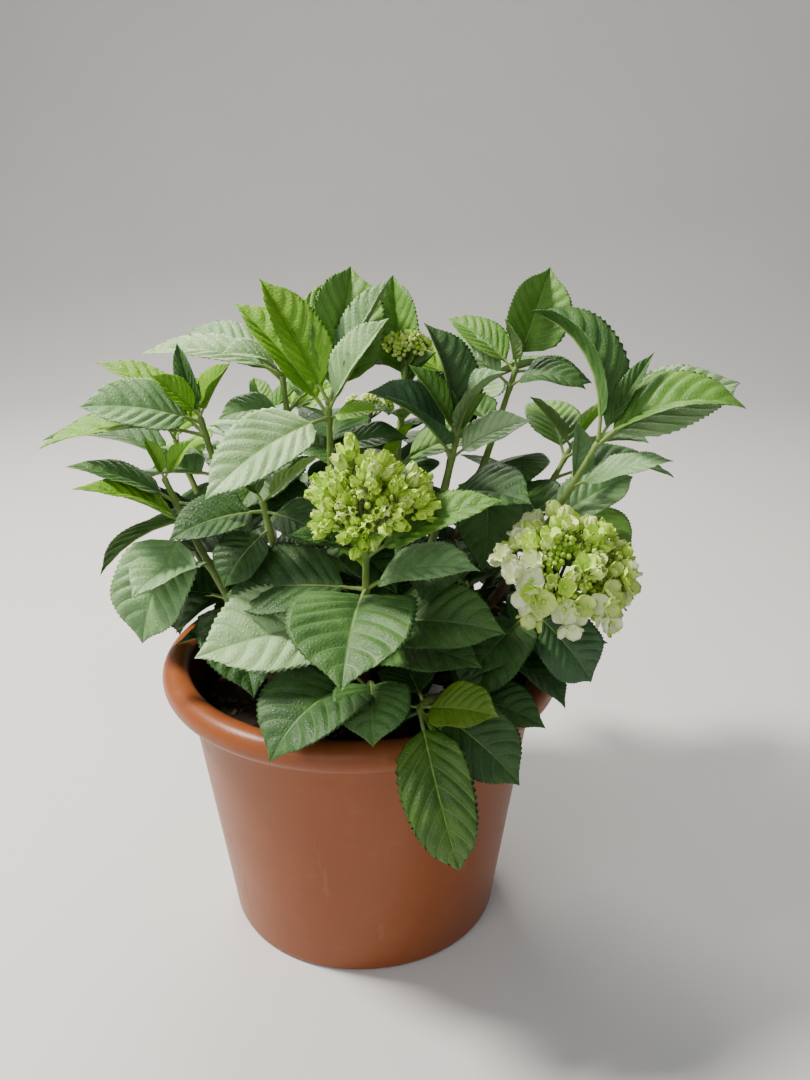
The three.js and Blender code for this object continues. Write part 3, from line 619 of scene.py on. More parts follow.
def make_canes(shoots):
    heap = Heap()
    for shoot in shoots:
        end = shoot.join - FIT_GAP / shoot.length
        shares = [end * k / CANE_RINGS for k in range(CANE_RINGS + 1)]
        middles = [shoot.at(u) for u in shares]
        ridges = [cane_random.uniform(-BARK_RIDGE, BARK_RIDGE) for _ in range(CANE_SIDES)]
        joint = cane_random.uniform(0.55, 0.7) / max(1, round(end * shoot.length / CANE_JOINT_SPACING))
        radii = []
        for u in shares:
            beat = (u / end / joint) % 1.0
            away = min(beat, 1 - beat) * joint * end * shoot.length
            knuckle = KNUCKLE_HEIGHT * math.exp(-((away / KNUCKLE_REACH) ** 2))
            core = CANE_FOOT_RADIUS + (STEM_BASE_RADIUS - CANE_FOOT_RADIUS) * u / end
            radii.append(core + knuckle - BARK_INSET)

        def relief(k, i, ridges=ridges):
            return ridges[i] + 0.25 * math.sin(k * 1.7 + i * 2.3) + cane_random.uniform(-0.12, 0.12)

        points, faces = tube(middles, radii, CANE_SIDES, relief)
        points = np.array(points)
        points[:CANE_SIDES, 2] = SOIL_MM + FIT_GAP
        heap.add(points, faces)
    canes = heap.piece("canes_bark", [cane_bark()], "cane_bark")
    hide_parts(*["cane_" + shoot.name for shoot in shoots])


shoots = [Shoot(name, spec) for name, spec in SHOOTS.items()]
make_canes(shoots)

# The tag: a plain off-white plastic loop round one cane at the front, with a flat tail square to the cane.
# It is cut from thin sheet with rounded corners, and it carries no marks.
TAG_PLACE = 0.5
TAG_INNER_RADIUS = 7
TAG_THICKNESS = 1
TAG_WIDTH = 20
TAG_TAIL = 28
TAG_SIDES = 48
TAG_CORNER = 2.5
TAG_CORNER_STEPS = 5
TAG_BEVEL = 0.3 * MM


def tag_plastic():
    finish = Finish("tag_plastic", specular_ior_level=0.4)
    stain = finish.noise(120, 4)
    colour = finish.mix(stain.over(0.45, 0.8), (0.66, 0.65, 0.6), (0.42, 0.4, 0.33))
    return finish.dressed(colour, 0.38 + stain * 0.2, stain, 0.0006, 0.4)


def tag_loop():
    """The band round the cane, in its own frame with the cane along +Y."""
    section = [(0, -0.5), (0, 0.5), (1, 0.5), (1, -0.5)]
    points = []
    for k in range(TAG_SIDES):
        turn = 2 * math.pi * k / TAG_SIDES
        for out, high in section:
            radius = TAG_INNER_RADIUS + out * TAG_THICKNESS
            points.append((radius * math.cos(turn), high * TAG_WIDTH, radius * math.sin(turn)))
    faces = []
    for k in range(TAG_SIDES):
        low, high = 4 * k, 4 * ((k + 1) % TAG_SIDES)
        faces += [[low + i, high + i, high + (i + 1) % 4, low + (i + 1) % 4] for i in range(4)]
    return points, faces


def tag_tail():
    """The flat tail, a thin plate with rounded corners that leaves the loop along +X."""
    outline = []
    corners = ((TAG_TAIL - TAG_CORNER, 1), (0.0, 1), (0.0, -1), (TAG_TAIL - TAG_CORNER, -1))
    for x, side in corners:
        if x == 0.0:
            outline.append((0.0, side * TAG_WIDTH / 2))
            continue
        for k in range(TAG_CORNER_STEPS + 1):
            turn = (k if side > 0 else k - TAG_CORNER_STEPS) / TAG_CORNER_STEPS * math.pi / 2
            high = side * (TAG_WIDTH / 2 - TAG_CORNER) + TAG_CORNER * math.sin(turn)
            outline.append((x + TAG_CORNER * math.cos(turn), high))
    count = len(outline)
    points = [(TAG_INNER_RADIUS + x, side * TAG_THICKNESS / 2, z) for side in (-1, 1) for x, z in outline]
    faces = [list(range(count)), list(range(2 * count - 1, count - 1, -1))]
    faces += [[i, i + count, (i + 1) % count + count, (i + 1) % count] for i in range(count)]
    return points, faces


def make_tag(shoot):
    along = shoot.along(TAG_PLACE)
    level = unit(np.cross(along, (0.0, 0.0, 1.0)))
    frame_of_tag = np.array((level, along, np.cross(level, along)))
    heap = Heap()
    for points, faces in (tag_loop(), tag_tail()):
        heap.add(shoot.at(TAG_PLACE) + np.array(points) @ frame_of_tag, faces)
    tag = heap.piece("tag_loop", [tag_plastic()], "tag_plastic", smooth=False)
    bevel = tag.modifiers.new("edge", "BEVEL")
    bevel.width = TAG_BEVEL
    bevel.segments = 2
    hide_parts("tag")


make_tag(next(shoot for shoot in shoots if shoot.name == "low_front"))

# The leaves grow in opposite pairs, each pair square to the last, from a swollen joint of the stem.
# The rule is the solids' own: known leaves first, then the rule's, each turned or shrunk until it is clear.
# A blade is a closed thin mesh: toothed edge, sunken midrib and side veins, quilted between the veins.
PAIR_SIZE = (0.46, 0.78, 1.0, 1.0, 0.94, 0.86, 0.8)
PAIR_RISE = (60, 38, 20, 8, 2, -2, -4)
PAIR_DROOP = (14, 34, 46, 52, 54, 54, 54)
PAIR_WIDTH = (0.52, 0.6, 0.66, 0.7, 0.72, 0.72, 0.72)
TURNS = (
    (0, 0), (0, 8), (0, -8), (10, 0), (-10, 0), (12, 10), (-12, 10), (12, -10), (-12, -10), (24, 0), (-24, 0),
    (0, 18), (0, -18), (26, 14), (-26, 14), (26, -14), (-26, -14), (44, 0), (-44, 0), (44, 14), (-44, 14),
    (66, 4), (-66, 4), (66, -12), (-66, -12),
)
SHRINKS = (1, 0.84, 0.7)
LEAF_LENGTH = 124
STALK_SHARE = 0.17
FOLD = 13
LEAF_CLEARANCE = 8
LIMB_CLEARANCE = 9
OWN_CLEARANCE = 5
POT_CLEARANCE = 5
SOIL_CLEARANCE = 8
BLOOM_CLEARANCE = 6
BLOOM_SUNK = 0.35
LIMB_SAMPLES = 36
SAMPLE_ROWS = 12
OWN_SKIPPED = 24
INNER_STEP = 26
INNER_LOWEST = 34
INNER_REACH = 175
INNER_LENGTH = 88
INNER_DROOP = 46
INNER_WIDTH = 0.68
INNER_CLEARANCE = 5
CLEARING = (-105, -122)
CLEARING_RADIUS = 40


class Rule:
    """The solids' seeded generator, so that the same plant grows here."""

    seed = 20260

    @classmethod
    def draw(cls, low, high):
        cls.seed = cls.seed * 16807 % 2147483647
        return low + (high - low) * cls.seed / 2147483647


def half_width(share):
    return 1.31 * share**0.55 * (1 - share) ** 0.9


class Leaf:
    """A leaf's frame and its bent, folded surface, in millimetres."""

    def __init__(self, plan, turn=0.0, tilt=0.0, shrink=1.0):
        self.plan = plan
        a = math.radians(plan["azimuth"] + turn)
        e = math.radians(plan["rise"] + tilt)
        r = math.radians(plan["roll"])
        self.length = plan["length"] * shrink
        self.width = plan["width"]
        self.droop = math.radians(plan["droop"])
        self.along = np.array((math.cos(e) * math.cos(a), math.cos(e) * math.sin(a), math.sin(e)))
        level = np.array((-math.sin(a), math.cos(a), 0.0))
        self.across = level * math.cos(r) + np.cross(self.along, level) * math.sin(r)
        self.up = np.cross(self.along, self.across)
        self.node = plan["node"]
        self.base = self.node + self.along * STALK_SHARE * self.length

    def surface(self, share, across, lift=0.0, wide=None):
        """Points of the blade: share runs from stalk to tip and across from -1 to 1."""
        share = np.asarray(share, float)
        bend = self.droop * share
        half = (half_width(share) if wide is None else wide) * self.width * self.length * across
        rise = np.abs(half) * math.tan(math.radians(FOLD)) + lift
        forward = self.length * np.sin(bend) / self.droop + rise * np.sin(bend)
        up = rise * np.cos(bend) - self.length * (1 - np.cos(bend)) / self.droop
        offset = forward[..., None] * self.along + up[..., None] * self.up + half[..., None] * self.across
        return self.base + offset

    def sample(self):
        stalk = [self.node + (self.base - self.node) * part for part in (0.4, 0.7, 1)]
        along = np.arange(1, SAMPLE_ROWS) / SAMPLE_ROWS
        share, across = np.meshgrid(along, (-1, -0.66, -0.33, 0, 0.33, 0.66, 1), indexing="ij")
        blade = self.surface(share.ravel(), across.ravel())
        self.samples = np.concatenate((stalk, blade, self.surface([1.0], np.zeros(1))))
        self.middle = self.surface([0.5], np.zeros(1))[0]
        self.reach = np.linalg.norm(self.samples - self.middle, axis=1).max()
        return self


def meets_pot(points):
    out = np.hypot(points[:, 0], points[:, 1])
    within = out < wall_inside(SOIL_LEVEL) / MM - SOIL_CLEARANCE
    in_soil = within & (points[:, 2] < SOIL_MM + SOIL_CLEARANCE)
    at_rim = ~within & (out < RIM_RADIUS / MM + POT_CLEARANCE)
    at_rim &= points[:, 2] < POT_HEIGHT / MM + POT_CLEARANCE
    return bool((in_soil | at_rim).any())


def meets_bloom(points, bloom):
    off = points - bloom["middle"]
    high = off @ bloom["axis"]
    wide = np.sqrt(np.maximum(0, (off * off).sum(1) - high * high))
    wide_share = wide / (bloom["radius"] + BLOOM_CLEARANCE)
    high_share = high / (bloom["height"] + BLOOM_CLEARANCE)
    return bool((np.hypot(wide_share, high_share) < 1).any())


def nearest(first, second):
    """The least distance between two sets of points."""
    apart = (first * first).sum(1)[:, None] + (second * second).sum(1)[None, :] - 2 * first @ second.T
    return math.sqrt(max(0.0, apart.min()))


class Growth:
    """What has grown so far, and the test that the next leaf has to pass."""

    def __init__(self, shoots):
        self.leaves = []
        self.blooms = []
        self.limbs = {}
        for shoot in shoots:
            self.limbs[shoot.name] = np.array([shoot.at(k / LIMB_SAMPLES) for k in range(LIMB_SAMPLES + 1)])
            if "bloom" in shoot.spec:
                kind, radius, height, stalk, lean = shoot.spec["bloom"]
                axis = unit(np.array((*lean, 1.0)))
                tip = np.array(shoot.spec["tip"], float)
                middle = tip + axis * (stalk + height * BLOOM_SUNK)
                bloom = {"shoot": shoot.name, "kind": kind, "radius": radius, "height": height}
                self.blooms.append({**bloom, "axis": axis, "middle": middle, "tip": tip})
        tagged = next(shoot for shoot in shoots if shoot.name == "low_front")
        self.limbs["tag"] = np.array([tagged.at(TAG_PLACE)])

    def clear(self, leaf):
        plan = leaf.plan
        if meets_pot(leaf.samples):
            return False
        for bloom in self.blooms:
            if plan["known"] and bloom["shoot"] == plan["shoot"]:
                continue
            if meets_bloom(leaf.samples, bloom):
                return False
        others = np.concatenate([points for name, points in self.limbs.items() if name != plan["shoot"]])
        if nearest(leaf.samples, others) < LIMB_CLEARANCE:
            return False
        for other in self.leaves:
            if np.linalg.norm(other.middle - leaf.middle) > other.reach + leaf.reach + LEAF_CLEARANCE:
                continue
            own = other.plan["shoot"] == plan["shoot"]
            if own and plan["known"]:
                continue
            first = OWN_SKIPPED if own else 0
            least = OWN_CLEARANCE if own else plan.get("room", LEAF_CLEARANCE)
            if nearest(leaf.samples[first:], other.samples[first:]) < least:
                return False
        return True

    def grow(self, plan):
        for shrink in SHRINKS:
            for turn, tilt in TURNS:
                leaf = Leaf(plan, turn, tilt, shrink).sample()
                if self.clear(leaf):
                    self.leaves.append(leaf)
                    return


# Some of the rule's leaves show in the photograph, and these take the tint that they have there.
# Their tints include painted sheen and painted shade.
RULE_TINTS = {
    "left_low_3b": "frosted", "centre_2a": "bright", "top_right_4b": "leaf", "top_left_4b": "deep",
    "top_right_4a": "leaf", "rear_right_3b": "deep", "right_rear_1a": "fresh", "right_rear_3a": "fresh",
    "right_skirt_1a": "leaf", "left_high_5a": "deep",
}


def tint_by_rule(pair, height):
    """The rule's tint: lime at the tip, partly painted glow; painted sheen where a blade lies open to the
    sky; and painted shade below.
    """
    luck = leaf_random.random()
    if height < 440:
        return "deep" if luck < 0.7 else "leaf"
    if pair <= 1:
        return "bright" if luck < 0.6 else "fresh"
    if pair == 2:
        return "silver" if luck < 0.3 else "fresh" if luck < 0.6 else "leaf"
    return "frosted" if luck < 0.15 else "leaf" if luck < 0.5 else "deep"


def plan_leaves(shoots):
    plans = []
    for shoot in shoots:
        for pair, node in enumerate(shoot.nodes):
            for side in "abc":
                azimuth = shoot.spec["turn"] + 90 * pair + (180 if side == "b" else 0) + Rule.draw(-10, 10)
                rise = PAIR_RISE[pair] + Rule.draw(-6, 6)
                length = LEAF_LENGTH * PAIR_SIZE[pair] * Rule.draw(0.92, 1.1)
                droop = PAIR_DROOP[pair] * Rule.draw(0.8, 1.2)
                roll = Rule.draw(-16, 16)
                known = shoot.spec.get("leaves", {}).get(f"{pair}{side}")
                tint = known[6] if known else tint_by_rule(pair, node[2])
                tint = RULE_TINTS.get(f"{shoot.name}_{pair}{side}", tint)
                shape = known[:6] if known else (azimuth, rise, length, droop, roll, PAIR_WIDTH[pair])
                plan = dict(zip(("azimuth", "rise", "length", "droop", "roll", "width"), shape))
                plan.update(node=node, shoot=shoot.name, known=bool(known), side=side, tint=tint)
                plans.append(plan)
    return plans


def plan_inner(shoots):
    """Smaller old leaves in the shade inside the crown, on the canes below the last pair."""
    plans = []
    for shoot in shoots:
        pair = len(shoot.spec["drops"])
        drop = shoot.spec["drops"][-1] + INNER_STEP
        while drop < shoot.length:
            node = shoot.at(1 - drop / shoot.length)
            if node[2] < SOIL_MM + INNER_LOWEST:
                break
            for side in "ab" if math.hypot(node[0], node[1]) < INNER_REACH else "":
                plans.append({
                    "azimuth": shoot.spec["turn"] + 90 * pair + (180 if side == "b" else 0)
                    + leaf_random.uniform(-30, 30),
                    "rise": leaf_random.uniform(-8, 16),
                    "roll": leaf_random.uniform(-16, 16),
                    "length": INNER_LENGTH * leaf_random.uniform(0.85, 1.15),
                    "droop": INNER_DROOP, "width": INNER_WIDTH, "node": node, "shoot": shoot.name,
                    # Their dark tint is painted shade.
                    "known": False, "side": side, "tint": "deep", "room": INNER_CLEARANCE,
                })
            drop += INNER_STEP
            pair += 1
    return plans


def over_clearing(leaf):
    """Whether a shade leaf ends over the soil at the front left, which lies bare in the photograph."""
    tip = leaf.surface([1.0], np.zeros(1))[0]
    return "room" in leaf.plan and math.hypot(tip[0] - CLEARING[0], tip[1] - CLEARING[1]) < CLEARING_RADIUS


leaf_random = random.Random(3)
growth = Growth(shoots)
leaf_plans = plan_leaves(shoots)
for leaf_plan in leaf_plans:
    if leaf_plan["known"]:
        growth.grow(leaf_plan)
for leaf_plan in leaf_plans:
    if not leaf_plan["known"] and leaf_plan["side"] != "c":
        growth.grow(leaf_plan)
for leaf_plan in plan_inner(shoots):
    growth.grow(leaf_plan)
growth.leaves = [leaf for leaf in growth.leaves if not over_clearing(leaf)]

# A blade's skin: a grid whose rows run out along the side veins from the midrib to the teeth.
# Every blade has the same grid and faces, and only its outline, relief and bend are its own.
VEIN_PLACES = (0.05, 0.14, 0.25, 0.38, 0.52, 0.66, 0.8)
VEIN_HALF = 0.0042
VEIN_SWEEP = 0.6
VEIN_BEND = 1.15
ROWS_BETWEEN = 4
COLUMNS = (0.0, 0.028, 0.12, 0.24, 0.37, 0.5, 0.63, 0.76, 0.89, 1.0)
LEAVES_TO_A_PIECE = 56
BLADE_HALF_THICKNESS = 0.3
QUILT = 0.025
PUCKER = 0.0032
PUCKERS_ACROSS = 2.5
RIB_DEPTH = 0.9
RIB_REACH = 0.06
TOOTH = 0.017
DEEPEST_TOOTH = 0.3
TOOTH_LEAN = 0.006
TOOTHLESS_FOOT = 0.2
WAVES = (9, 15)
WAVE_HEIGHT = (0.6, 1.6)
YOUNG_RISE = 35
YOUNG_RISE_SPAN = 30
YOUNG_FOLD = 0.5
YOUNG_NARROWED = 0.12
TINTS = {
    # Painted sheen: a pale sage green that stands for sunlight glancing off the blade; its vein colour is a
    # little darker, painted shade in the sunken veins.
    "silver": ((0.25, 0.42, 0.16), (0.39, 0.57, 0.28), (0.24, 0.4, 0.16), 0.38),
    # Painted sheen, softer: a paler green that stands for sunlight on the blade.
    "frosted": ((0.12, 0.25, 0.08), (0.23, 0.4, 0.16), (0.14, 0.27, 0.09), 0.4),
    # Lime of young blades, partly a painted glow of light shining through them.
    "bright": ((0.12, 0.29, 0.008), (0.21, 0.43, 0.02), (0.23, 0.43, 0.035), 0.46),
    "fresh": ((0.075, 0.2, 0.018), (0.145, 0.31, 0.04), (0.15, 0.31, 0.05), 0.46),
    # Painted shade: a yellow-green blade darkened to how it looks in shade.
    "olive": ((0.07, 0.15, 0.006), (0.13, 0.23, 0.014), (0.15, 0.26, 0.03), 0.46),
    "leaf": ((0.036, 0.11, 0.018), (0.078, 0.18, 0.036), (0.095, 0.2, 0.05), 0.45),
    "glossy": ((0.032, 0.098, 0.006), (0.066, 0.158, 0.012), (0.1, 0.2, 0.025), 0.38),
    "blue": ((0.03, 0.088, 0.03), (0.062, 0.145, 0.052), (0.075, 0.165, 0.06), 0.44),
    # Painted shade: a dark green that stands for blades in the shade of the crown.
    "deep": ((0.019, 0.066, 0.01), (0.044, 0.118, 0.021), (0.06, 0.14, 0.03), 0.46),
}
SAME_BELOW = ("bright", "olive", "leaf", "deep", "glossy", "blue")
SAME_BELOW_GAIN = 1.15
UNDER_PALE = ((0.2, 0.29, 0.12), (0.26, 0.36, 0.17))
UNDER_ROUGHNESS = 0.56
UNDER_FINE = 0.8


def leaf_skin(name, low, high, roughness, fine=1.0):
    """Leaf skin: two near greens in soft patches, a net of tiny veins between soft pads, darkened along its
    sunken lines as painted shade, and a waxy gloss.
    """
    finish = Finish(name, specular_ior_level=0.42)
    patch = finish.noise(36, 4)
    net = finish.cells(300, "DISTANCE_TO_EDGE")
    pads = finish.noise(210, 3, 0.6)
    shaded_seam = 1 - net.over(0.0, 0.12)
    green = finish.mix(patch.over(0.3, 0.7), low, high)
    # Painted shade: the net's sunken lines darken towards the low green.
    colour = finish.mix(shaded_seam * 0.3 * fine, green, tuple(0.62 * c for c in low))
    relief = net.over(0.0, 0.5) * 0.7 + pads * 0.6
    return finish.dressed(colour, roughness + patch * 0.12 + shaded_seam * 0.1, relief, 0.0012, 0.42 * fine)


def vein_skin(name, colour):
    finish = Finish(name, specular_ior_level=0.35, roughness=0.5)
    return finish.dressed(finish.mix(finish.noise(120, 3), tuple(0.82 * c for c in colour), colour))


def blade_rows():
    """Each row's place on the midrib, how far it is from its vein as 0 to 1, and whether it is the vein."""
    rows = [(0.0, 0.0, False)]
    before = 0.0
    for place in (*VEIN_PLACES, 1.0):
        start = before + (VEIN_HALF if before else 0.0)
        end = place - (VEIN_HALF if place < 1 else 0.0)
        for k in range(1, ROWS_BETWEEN + 1):
            share = k / (ROWS_BETWEEN + 1)
            rows.append((start + (end - start) * share, math.sin(math.pi * share) ** 0.7, False))
        rows.append((end, 0.12, place < 1))
        if place < 1:
            rows.append((place + VEIN_HALF, 0.12, False))
        before = place
    rows[-1] = (1.0, 0.0, False)
    return rows


BLADE_ROWS = blade_rows()
PLACES = np.array([row[0] for row in BLADE_ROWS])[:, None]
BULGE = np.array([row[1] for row in BLADE_ROWS])[:, None]
ACROSS = np.array([-c for c in COLUMNS[:0:-1]] + list(COLUMNS))[None, :]
REACH = np.abs(ACROSS)
LADDER = np.sin(2 * np.pi * REACH * PUCKERS_ACROSS) * np.sin(np.arange(len(PLACES)) * 2.1)[:, None]


def blade_grid():
    """Each point's share of the blade's length, and 1 where it is a notch between two teeth."""
    even = np.linspace(0, 1, len(PLACES))[:, None] ** VEIN_SWEEP
    bent = REACH**VEIN_BEND
    teeth = np.zeros(PLACES.shape)
    teeth[2:-2:2] = 1.0
    notched = (REACH > 0.999) * teeth
    return np.clip(PLACES * (1 - bent) + even * bent - notched * TOOTH_LEAN, 0, 1), notched


def blade_faces():
    """The faces of a blade and each one's kind: 0 upper skin, 1 lower skin, 2 vein."""
    rows, columns = len(BLADE_ROWS), ACROSS.size
    upper = np.arange(rows * columns).reshape(rows, columns)
    lower = upper + rows * columns
    lower[:, 0] = upper[:, 0]
    lower[:, -1] = upper[:, -1]
    middle = columns // 2
    faces = []
    kinds = []
    for i in range(rows - 1):
        for j in range(columns - 1):
            on_rib = j in (middle - 1, middle)
            on_vein = BLADE_ROWS[i][2] and 0 < j < columns - 2
            for kind, skin in enumerate((upper, lower)):
                a, b, c, d = (int(skin[at]) for at in ((i, j), (i, j + 1), (i + 1, j + 1), (i + 1, j)))
                faces.append([a, b, c, d] if kind else [a, d, c, b])
                kinds.append(2 if on_rib or on_vein else kind)
    return faces, kinds


SHARE, NOTCHED = blade_grid()
BLADE_FACES, BLADE_KINDS = blade_faces()


def fine_half_width(share, width):
    """The solids' outline drawn finer: a wedge-shaped foot, full shoulders if broad, and a short point."""
    foot = 1 - 0.42 * np.clip(1 - share / 0.2, 0, 1) ** 1.5
    broad = min(1.0, max(0.0, (width - 0.44) / 0.3))
    shoulder = 1 + (0.04 + 0.13 * broad) * np.exp(-(((share - 0.7) / 0.17) ** 2))
    point = 1 - 0.5 * np.clip((share - 0.82) / 0.18, 0, 1)
    return half_width(share) * foot * shoulder * point


def blade_relief(leaf, luck):
    """How far the skin stands off the plain bent blade: quilted, sunk at the midrib, wavy at the edge."""
    quilt = QUILT * leaf.length * BULGE * np.sin(np.pi * np.clip(REACH, 0, 0.98) ** 0.8)
    quilt *= np.sin(np.pi * np.clip(PLACES, 0.02, 0.99) ** 0.7) ** 0.5
    rib = -RIB_DEPTH * np.exp(-((REACH / RIB_REACH) ** 2)) * (1 - PLACES)
    phase = SHARE * luck.uniform(*WAVES) + luck.uniform(0, 6) + (ACROSS > 0) * 2.1
    wave = luck.uniform(*WAVE_HEIGHT) * np.sin(phase)
    return quilt + rib + wave * REACH**2.2 * np.sin(np.pi * SHARE) ** 0.5


def blade_points(leaf, luck):
    """The points of the upper skin and then of the lower one, which meet at the blade's edge."""
    wide = fine_half_width(SHARE, leaf.width)
    notch = np.minimum(TOOTH / (wide * leaf.width + 1e-6), DEEPEST_TOOTH)
    wide = wide * (1 - NOTCHED * (notch * np.clip(SHARE / TOOTHLESS_FOOT, 0, 1)))
    young = np.clip((leaf.plan["rise"] - YOUNG_RISE) / YOUNG_RISE_SPAN, 0, 1)
    lift = blade_relief(leaf, luck)
    lift += YOUNG_FOLD * young * wide * leaf.width * leaf.length * REACH
    lift += PUCKER * leaf.length * BULGE * LADDER
    wide = wide * (1 - YOUNG_NARROWED * young)
    top = leaf.surface(SHARE, np.broadcast_to(ACROSS, SHARE.shape), lift, wide)
    thick = 2 * BLADE_HALF_THICKNESS * (1 - REACH**6)[..., None] * np.ones_like(top)
    return np.concatenate((top.reshape(-1, 3), (top - leaf.up * thick).reshape(-1, 3)))


def under_tones(tint, tones):
    """The two greens of a blade's lower side: nearly the upper side's own, or paler and greyer."""
    if tint in SAME_BELOW:
        return [tuple(SAME_BELOW_GAIN * c for c in tone) for tone in tones]
    return [tuple(0.35 * c + 0.65 * p for c, p in zip(tone, pale)) for tone, pale in zip(tones, UNDER_PALE)]


def make_leaves(leaves):
    made = []
    for tint, (low, high, vein, roughness) in TINTS.items():
        under = under_tones(tint, (low, high))
        skins = [
            leaf_skin("leaf_" + tint, low, high, roughness),
            leaf_skin("leaf_under_" + tint, *under, UNDER_ROUGHNESS, UNDER_FINE),
            vein_skin("leaf_vein_" + tint, vein),
        ]
        kin = [leaf for leaf in leaves if leaf.plan["tint"] == tint]
        for first in range(0, len(kin), LEAVES_TO_A_PIECE):
            heap = Heap()
            for leaf in kin[first : first + LEAVES_TO_A_PIECE]:
                heap.add(blade_points(leaf, leaf_random), BLADE_FACES, BLADE_KINDS)
            made.append(heap.piece(f"leaves_{tint}_{first // LEAVES_TO_A_PIECE + 1}", skins, "foliage"))
    return made


leaf_pieces = make_leaves(growth.leaves)
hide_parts(*["shoot_" + shoot.name for shoot in shoots])

# The leaf stalks and green stems: this year's soft growth, swollen at the joints.
# A stalk runs on under its blade as the raised midrib, and thins out towards the leaf's tip.
STEM_TIP_RADIUS = 2.6
STEM_END_RADIUS = 0.7
STEM_RING_SPACING = 4
STEM_SIDES = 14
JOINT_SWELL = 1.5
JOINT_REACH = 3.6
STALK_SIDES = 8
STALK_PLACES = (0.0, 0.18, 0.4, 0.7, 0.97)
STALK_RADII = (3.0, 2.3, 1.85, 1.75, 1.75)
RIB_PLACES = np.array((0.05, 0.15, 0.3, 0.45, 0.6, 0.75, 0.9))
RIB_ROOT_RADIUS = 1.5
RIB_TIP_RADIUS = 0.25


def green_stem():
    finish = Finish("green_stem", specular_ior_level=0.4)
    streak = finish.noise(190, 4, 0.6, finish.place(1, 1, 0.1))
    dots = 1 - finish.cells(420, at=finish.place(1, 1, 0.45)).over(0.1, 0.17)
    tone = finish.noise(22, 3)
    green = finish.mix(tone.over(0.35, 0.7), (0.12, 0.2, 0.035), (0.2, 0.3, 0.065))
    streaked = finish.mix(streak.over(0.45, 0.7) * 0.5, green, (0.26, 0.35, 0.11))
    colour = finish.mix(dots * 0.6, streaked, (0.1, 0.05, 0.035))
    return finish.dressed(colour, 0.46 + streak * 0.16, streak + dots * 0.4, 0.0006, 0.5)


def leaf_stalk():
    finish = Finish("leaf_stalk", specular_ior_level=0.4)
    tone = finish.noise(60, 3)
    colour = finish.mix(tone, (0.15, 0.24, 0.045), (0.27, 0.36, 0.1))
    return finish.dressed(colour, 0.45 + tone * 0.15, finish.noise(500, 3), 0.0004, 0.5)


def make_stalks(leaves):
    heap = Heap()
    for leaf in leaves:
        size = min(1.0, 0.45 + leaf.length / 200)
        stalk = [leaf.node + (leaf.base - leaf.node) * place for place in STALK_PLACES]
        sunk = leaf.up * (0.9 + 0.5 * (1 - RIB_PLACES))[:, None]
        rib = leaf.surface(RIB_PLACES, np.zeros(len(RIB_PLACES))) - sunk
        radii = [radius * size for radius in STALK_RADII]
        radii += [RIB_ROOT_RADIUS * size * (1 - place) + RIB_TIP_RADIUS for place in RIB_PLACES]
        heap.add(*tube([*stalk, *rib], radii, STALK_SIDES))
    heap.piece("leaf_stalks", [leaf_stalk()], "foliage")


def make_stems(shoots):
    heap = Heap()
    for shoot in shoots:
        rings = max(10, round((1 - shoot.join) * shoot.length / STEM_RING_SPACING))
        shares = [shoot.join + (1 - shoot.join) * k / rings for k in range(rings + 1)]
        radii = []
        for u in shares:
            part = (u - shoot.join) / (1 - shoot.join)
            drop = (1 - u) * shoot.length
            near = min(abs(drop - each) for each in shoot.spec["drops"])
            swell = JOINT_SWELL * math.exp(-((near / JOINT_REACH) ** 2)) * (1 - 0.6 * part)
            radii.append(STEM_BASE_RADIUS + (STEM_TIP_RADIUS - STEM_BASE_RADIUS) * part + swell)
        radii[-1] = STEM_END_RADIUS
        heap.add(*tube([shoot.at(u) for u in shares], radii, STEM_SIDES))
    heap.piece("green_stems", [green_stem()], "foliage")


make_stalks(growth.leaves)
make_stems(shoots)

# The flower heads: a short stalk that forks to clusters, each a spray of florets round its own centre.
# The front head is still in bud, the right one is opening to cream, and the young ones are tight beads.
# A head's kind gives how many clusters it has and how many degrees of its dome they cover.
CLUSTERS = {"bud": (17, 98), "open": (22, 104), "young": (10, 84)}
FLORET_DEPTH = 0.86
FLORET_LIFT = 0.25
GOLDEN_TURN = math.pi * (3 - math.sqrt(5))
LIME, PALE_LIME, CREAM, BUD_GREEN = range(4)
BLOOM_BRANCH, YOUNG_BRANCH = range(2)
HEAD_STALK = (3.2, 2.6)
CLUSTER_STALK = (2.0, 1.1)
YOUNG_STALK = (1.4, 0.8)
FLORET_STALK = (0.9, 0.6)
INNER_BUD_STALK = (0.6, 0.4)
BEAD_STALK = (0.5, 0.4)
BRANCH_SIDES = 6
BRANCH_SAG = 1.5
SEPAL_THICKNESS = 0.25
bloom_random = random.Random(8)


def sepal_skin(name, low, high, vein):
    """A sepal's thin skin: two greens in soft clouds, with faint veins."""
    finish = Finish(name, specular_ior_level=0.35)
    cloud = finish.noise(85, 4)
    fibre = finish.noise(420, 3, 0.6, finish.place(1, 1, 0.5))
    body = finish.mix(cloud.over(0.34, 0.66), low, high)
    colour = finish.mix(fibre.over(0.52, 0.7) * 0.3, body, vein)
    return finish.dressed(colour, 0.5 + fibre * 0.15, fibre, 0.0004, 0.5)


def branch_skin(name, low, high):
    finish = Finish(name, specular_ior_level=0.35)
    tone = finish.noise(90, 3)
    return finish.dressed(finish.mix(tone, low, high), 0.6 + tone * 0.1)


def sepal(length, width, cup, curl):
    """One rounded sepal in its own frame: it starts at the origin and reaches along +X, cupped upward."""
    rows, columns = 6, 5
    points = []
    for i in range(rows):
        along = i / (rows - 1)
        half = width / 2 * math.sin(math.pi * min(0.93, 0.12 + 0.8 * along)) ** 0.7
        for j in range(columns):
            across = -1 + 2 * j / (columns - 1)
            out = length * along * (1 - 0.08 * abs(across) ** 2)
            high = cup * along**1.6 + curl * across**2 * along - 0.04 * length * math.sin(math.pi * along)
            points.append((out, half * across, high))
    faces = []
    for i in range(rows - 1):
        for j in range(columns - 1):
            a = i * columns + j
            faces.append([a, a + columns, a + columns + 1, a + 1])
    return np.array(points), faces


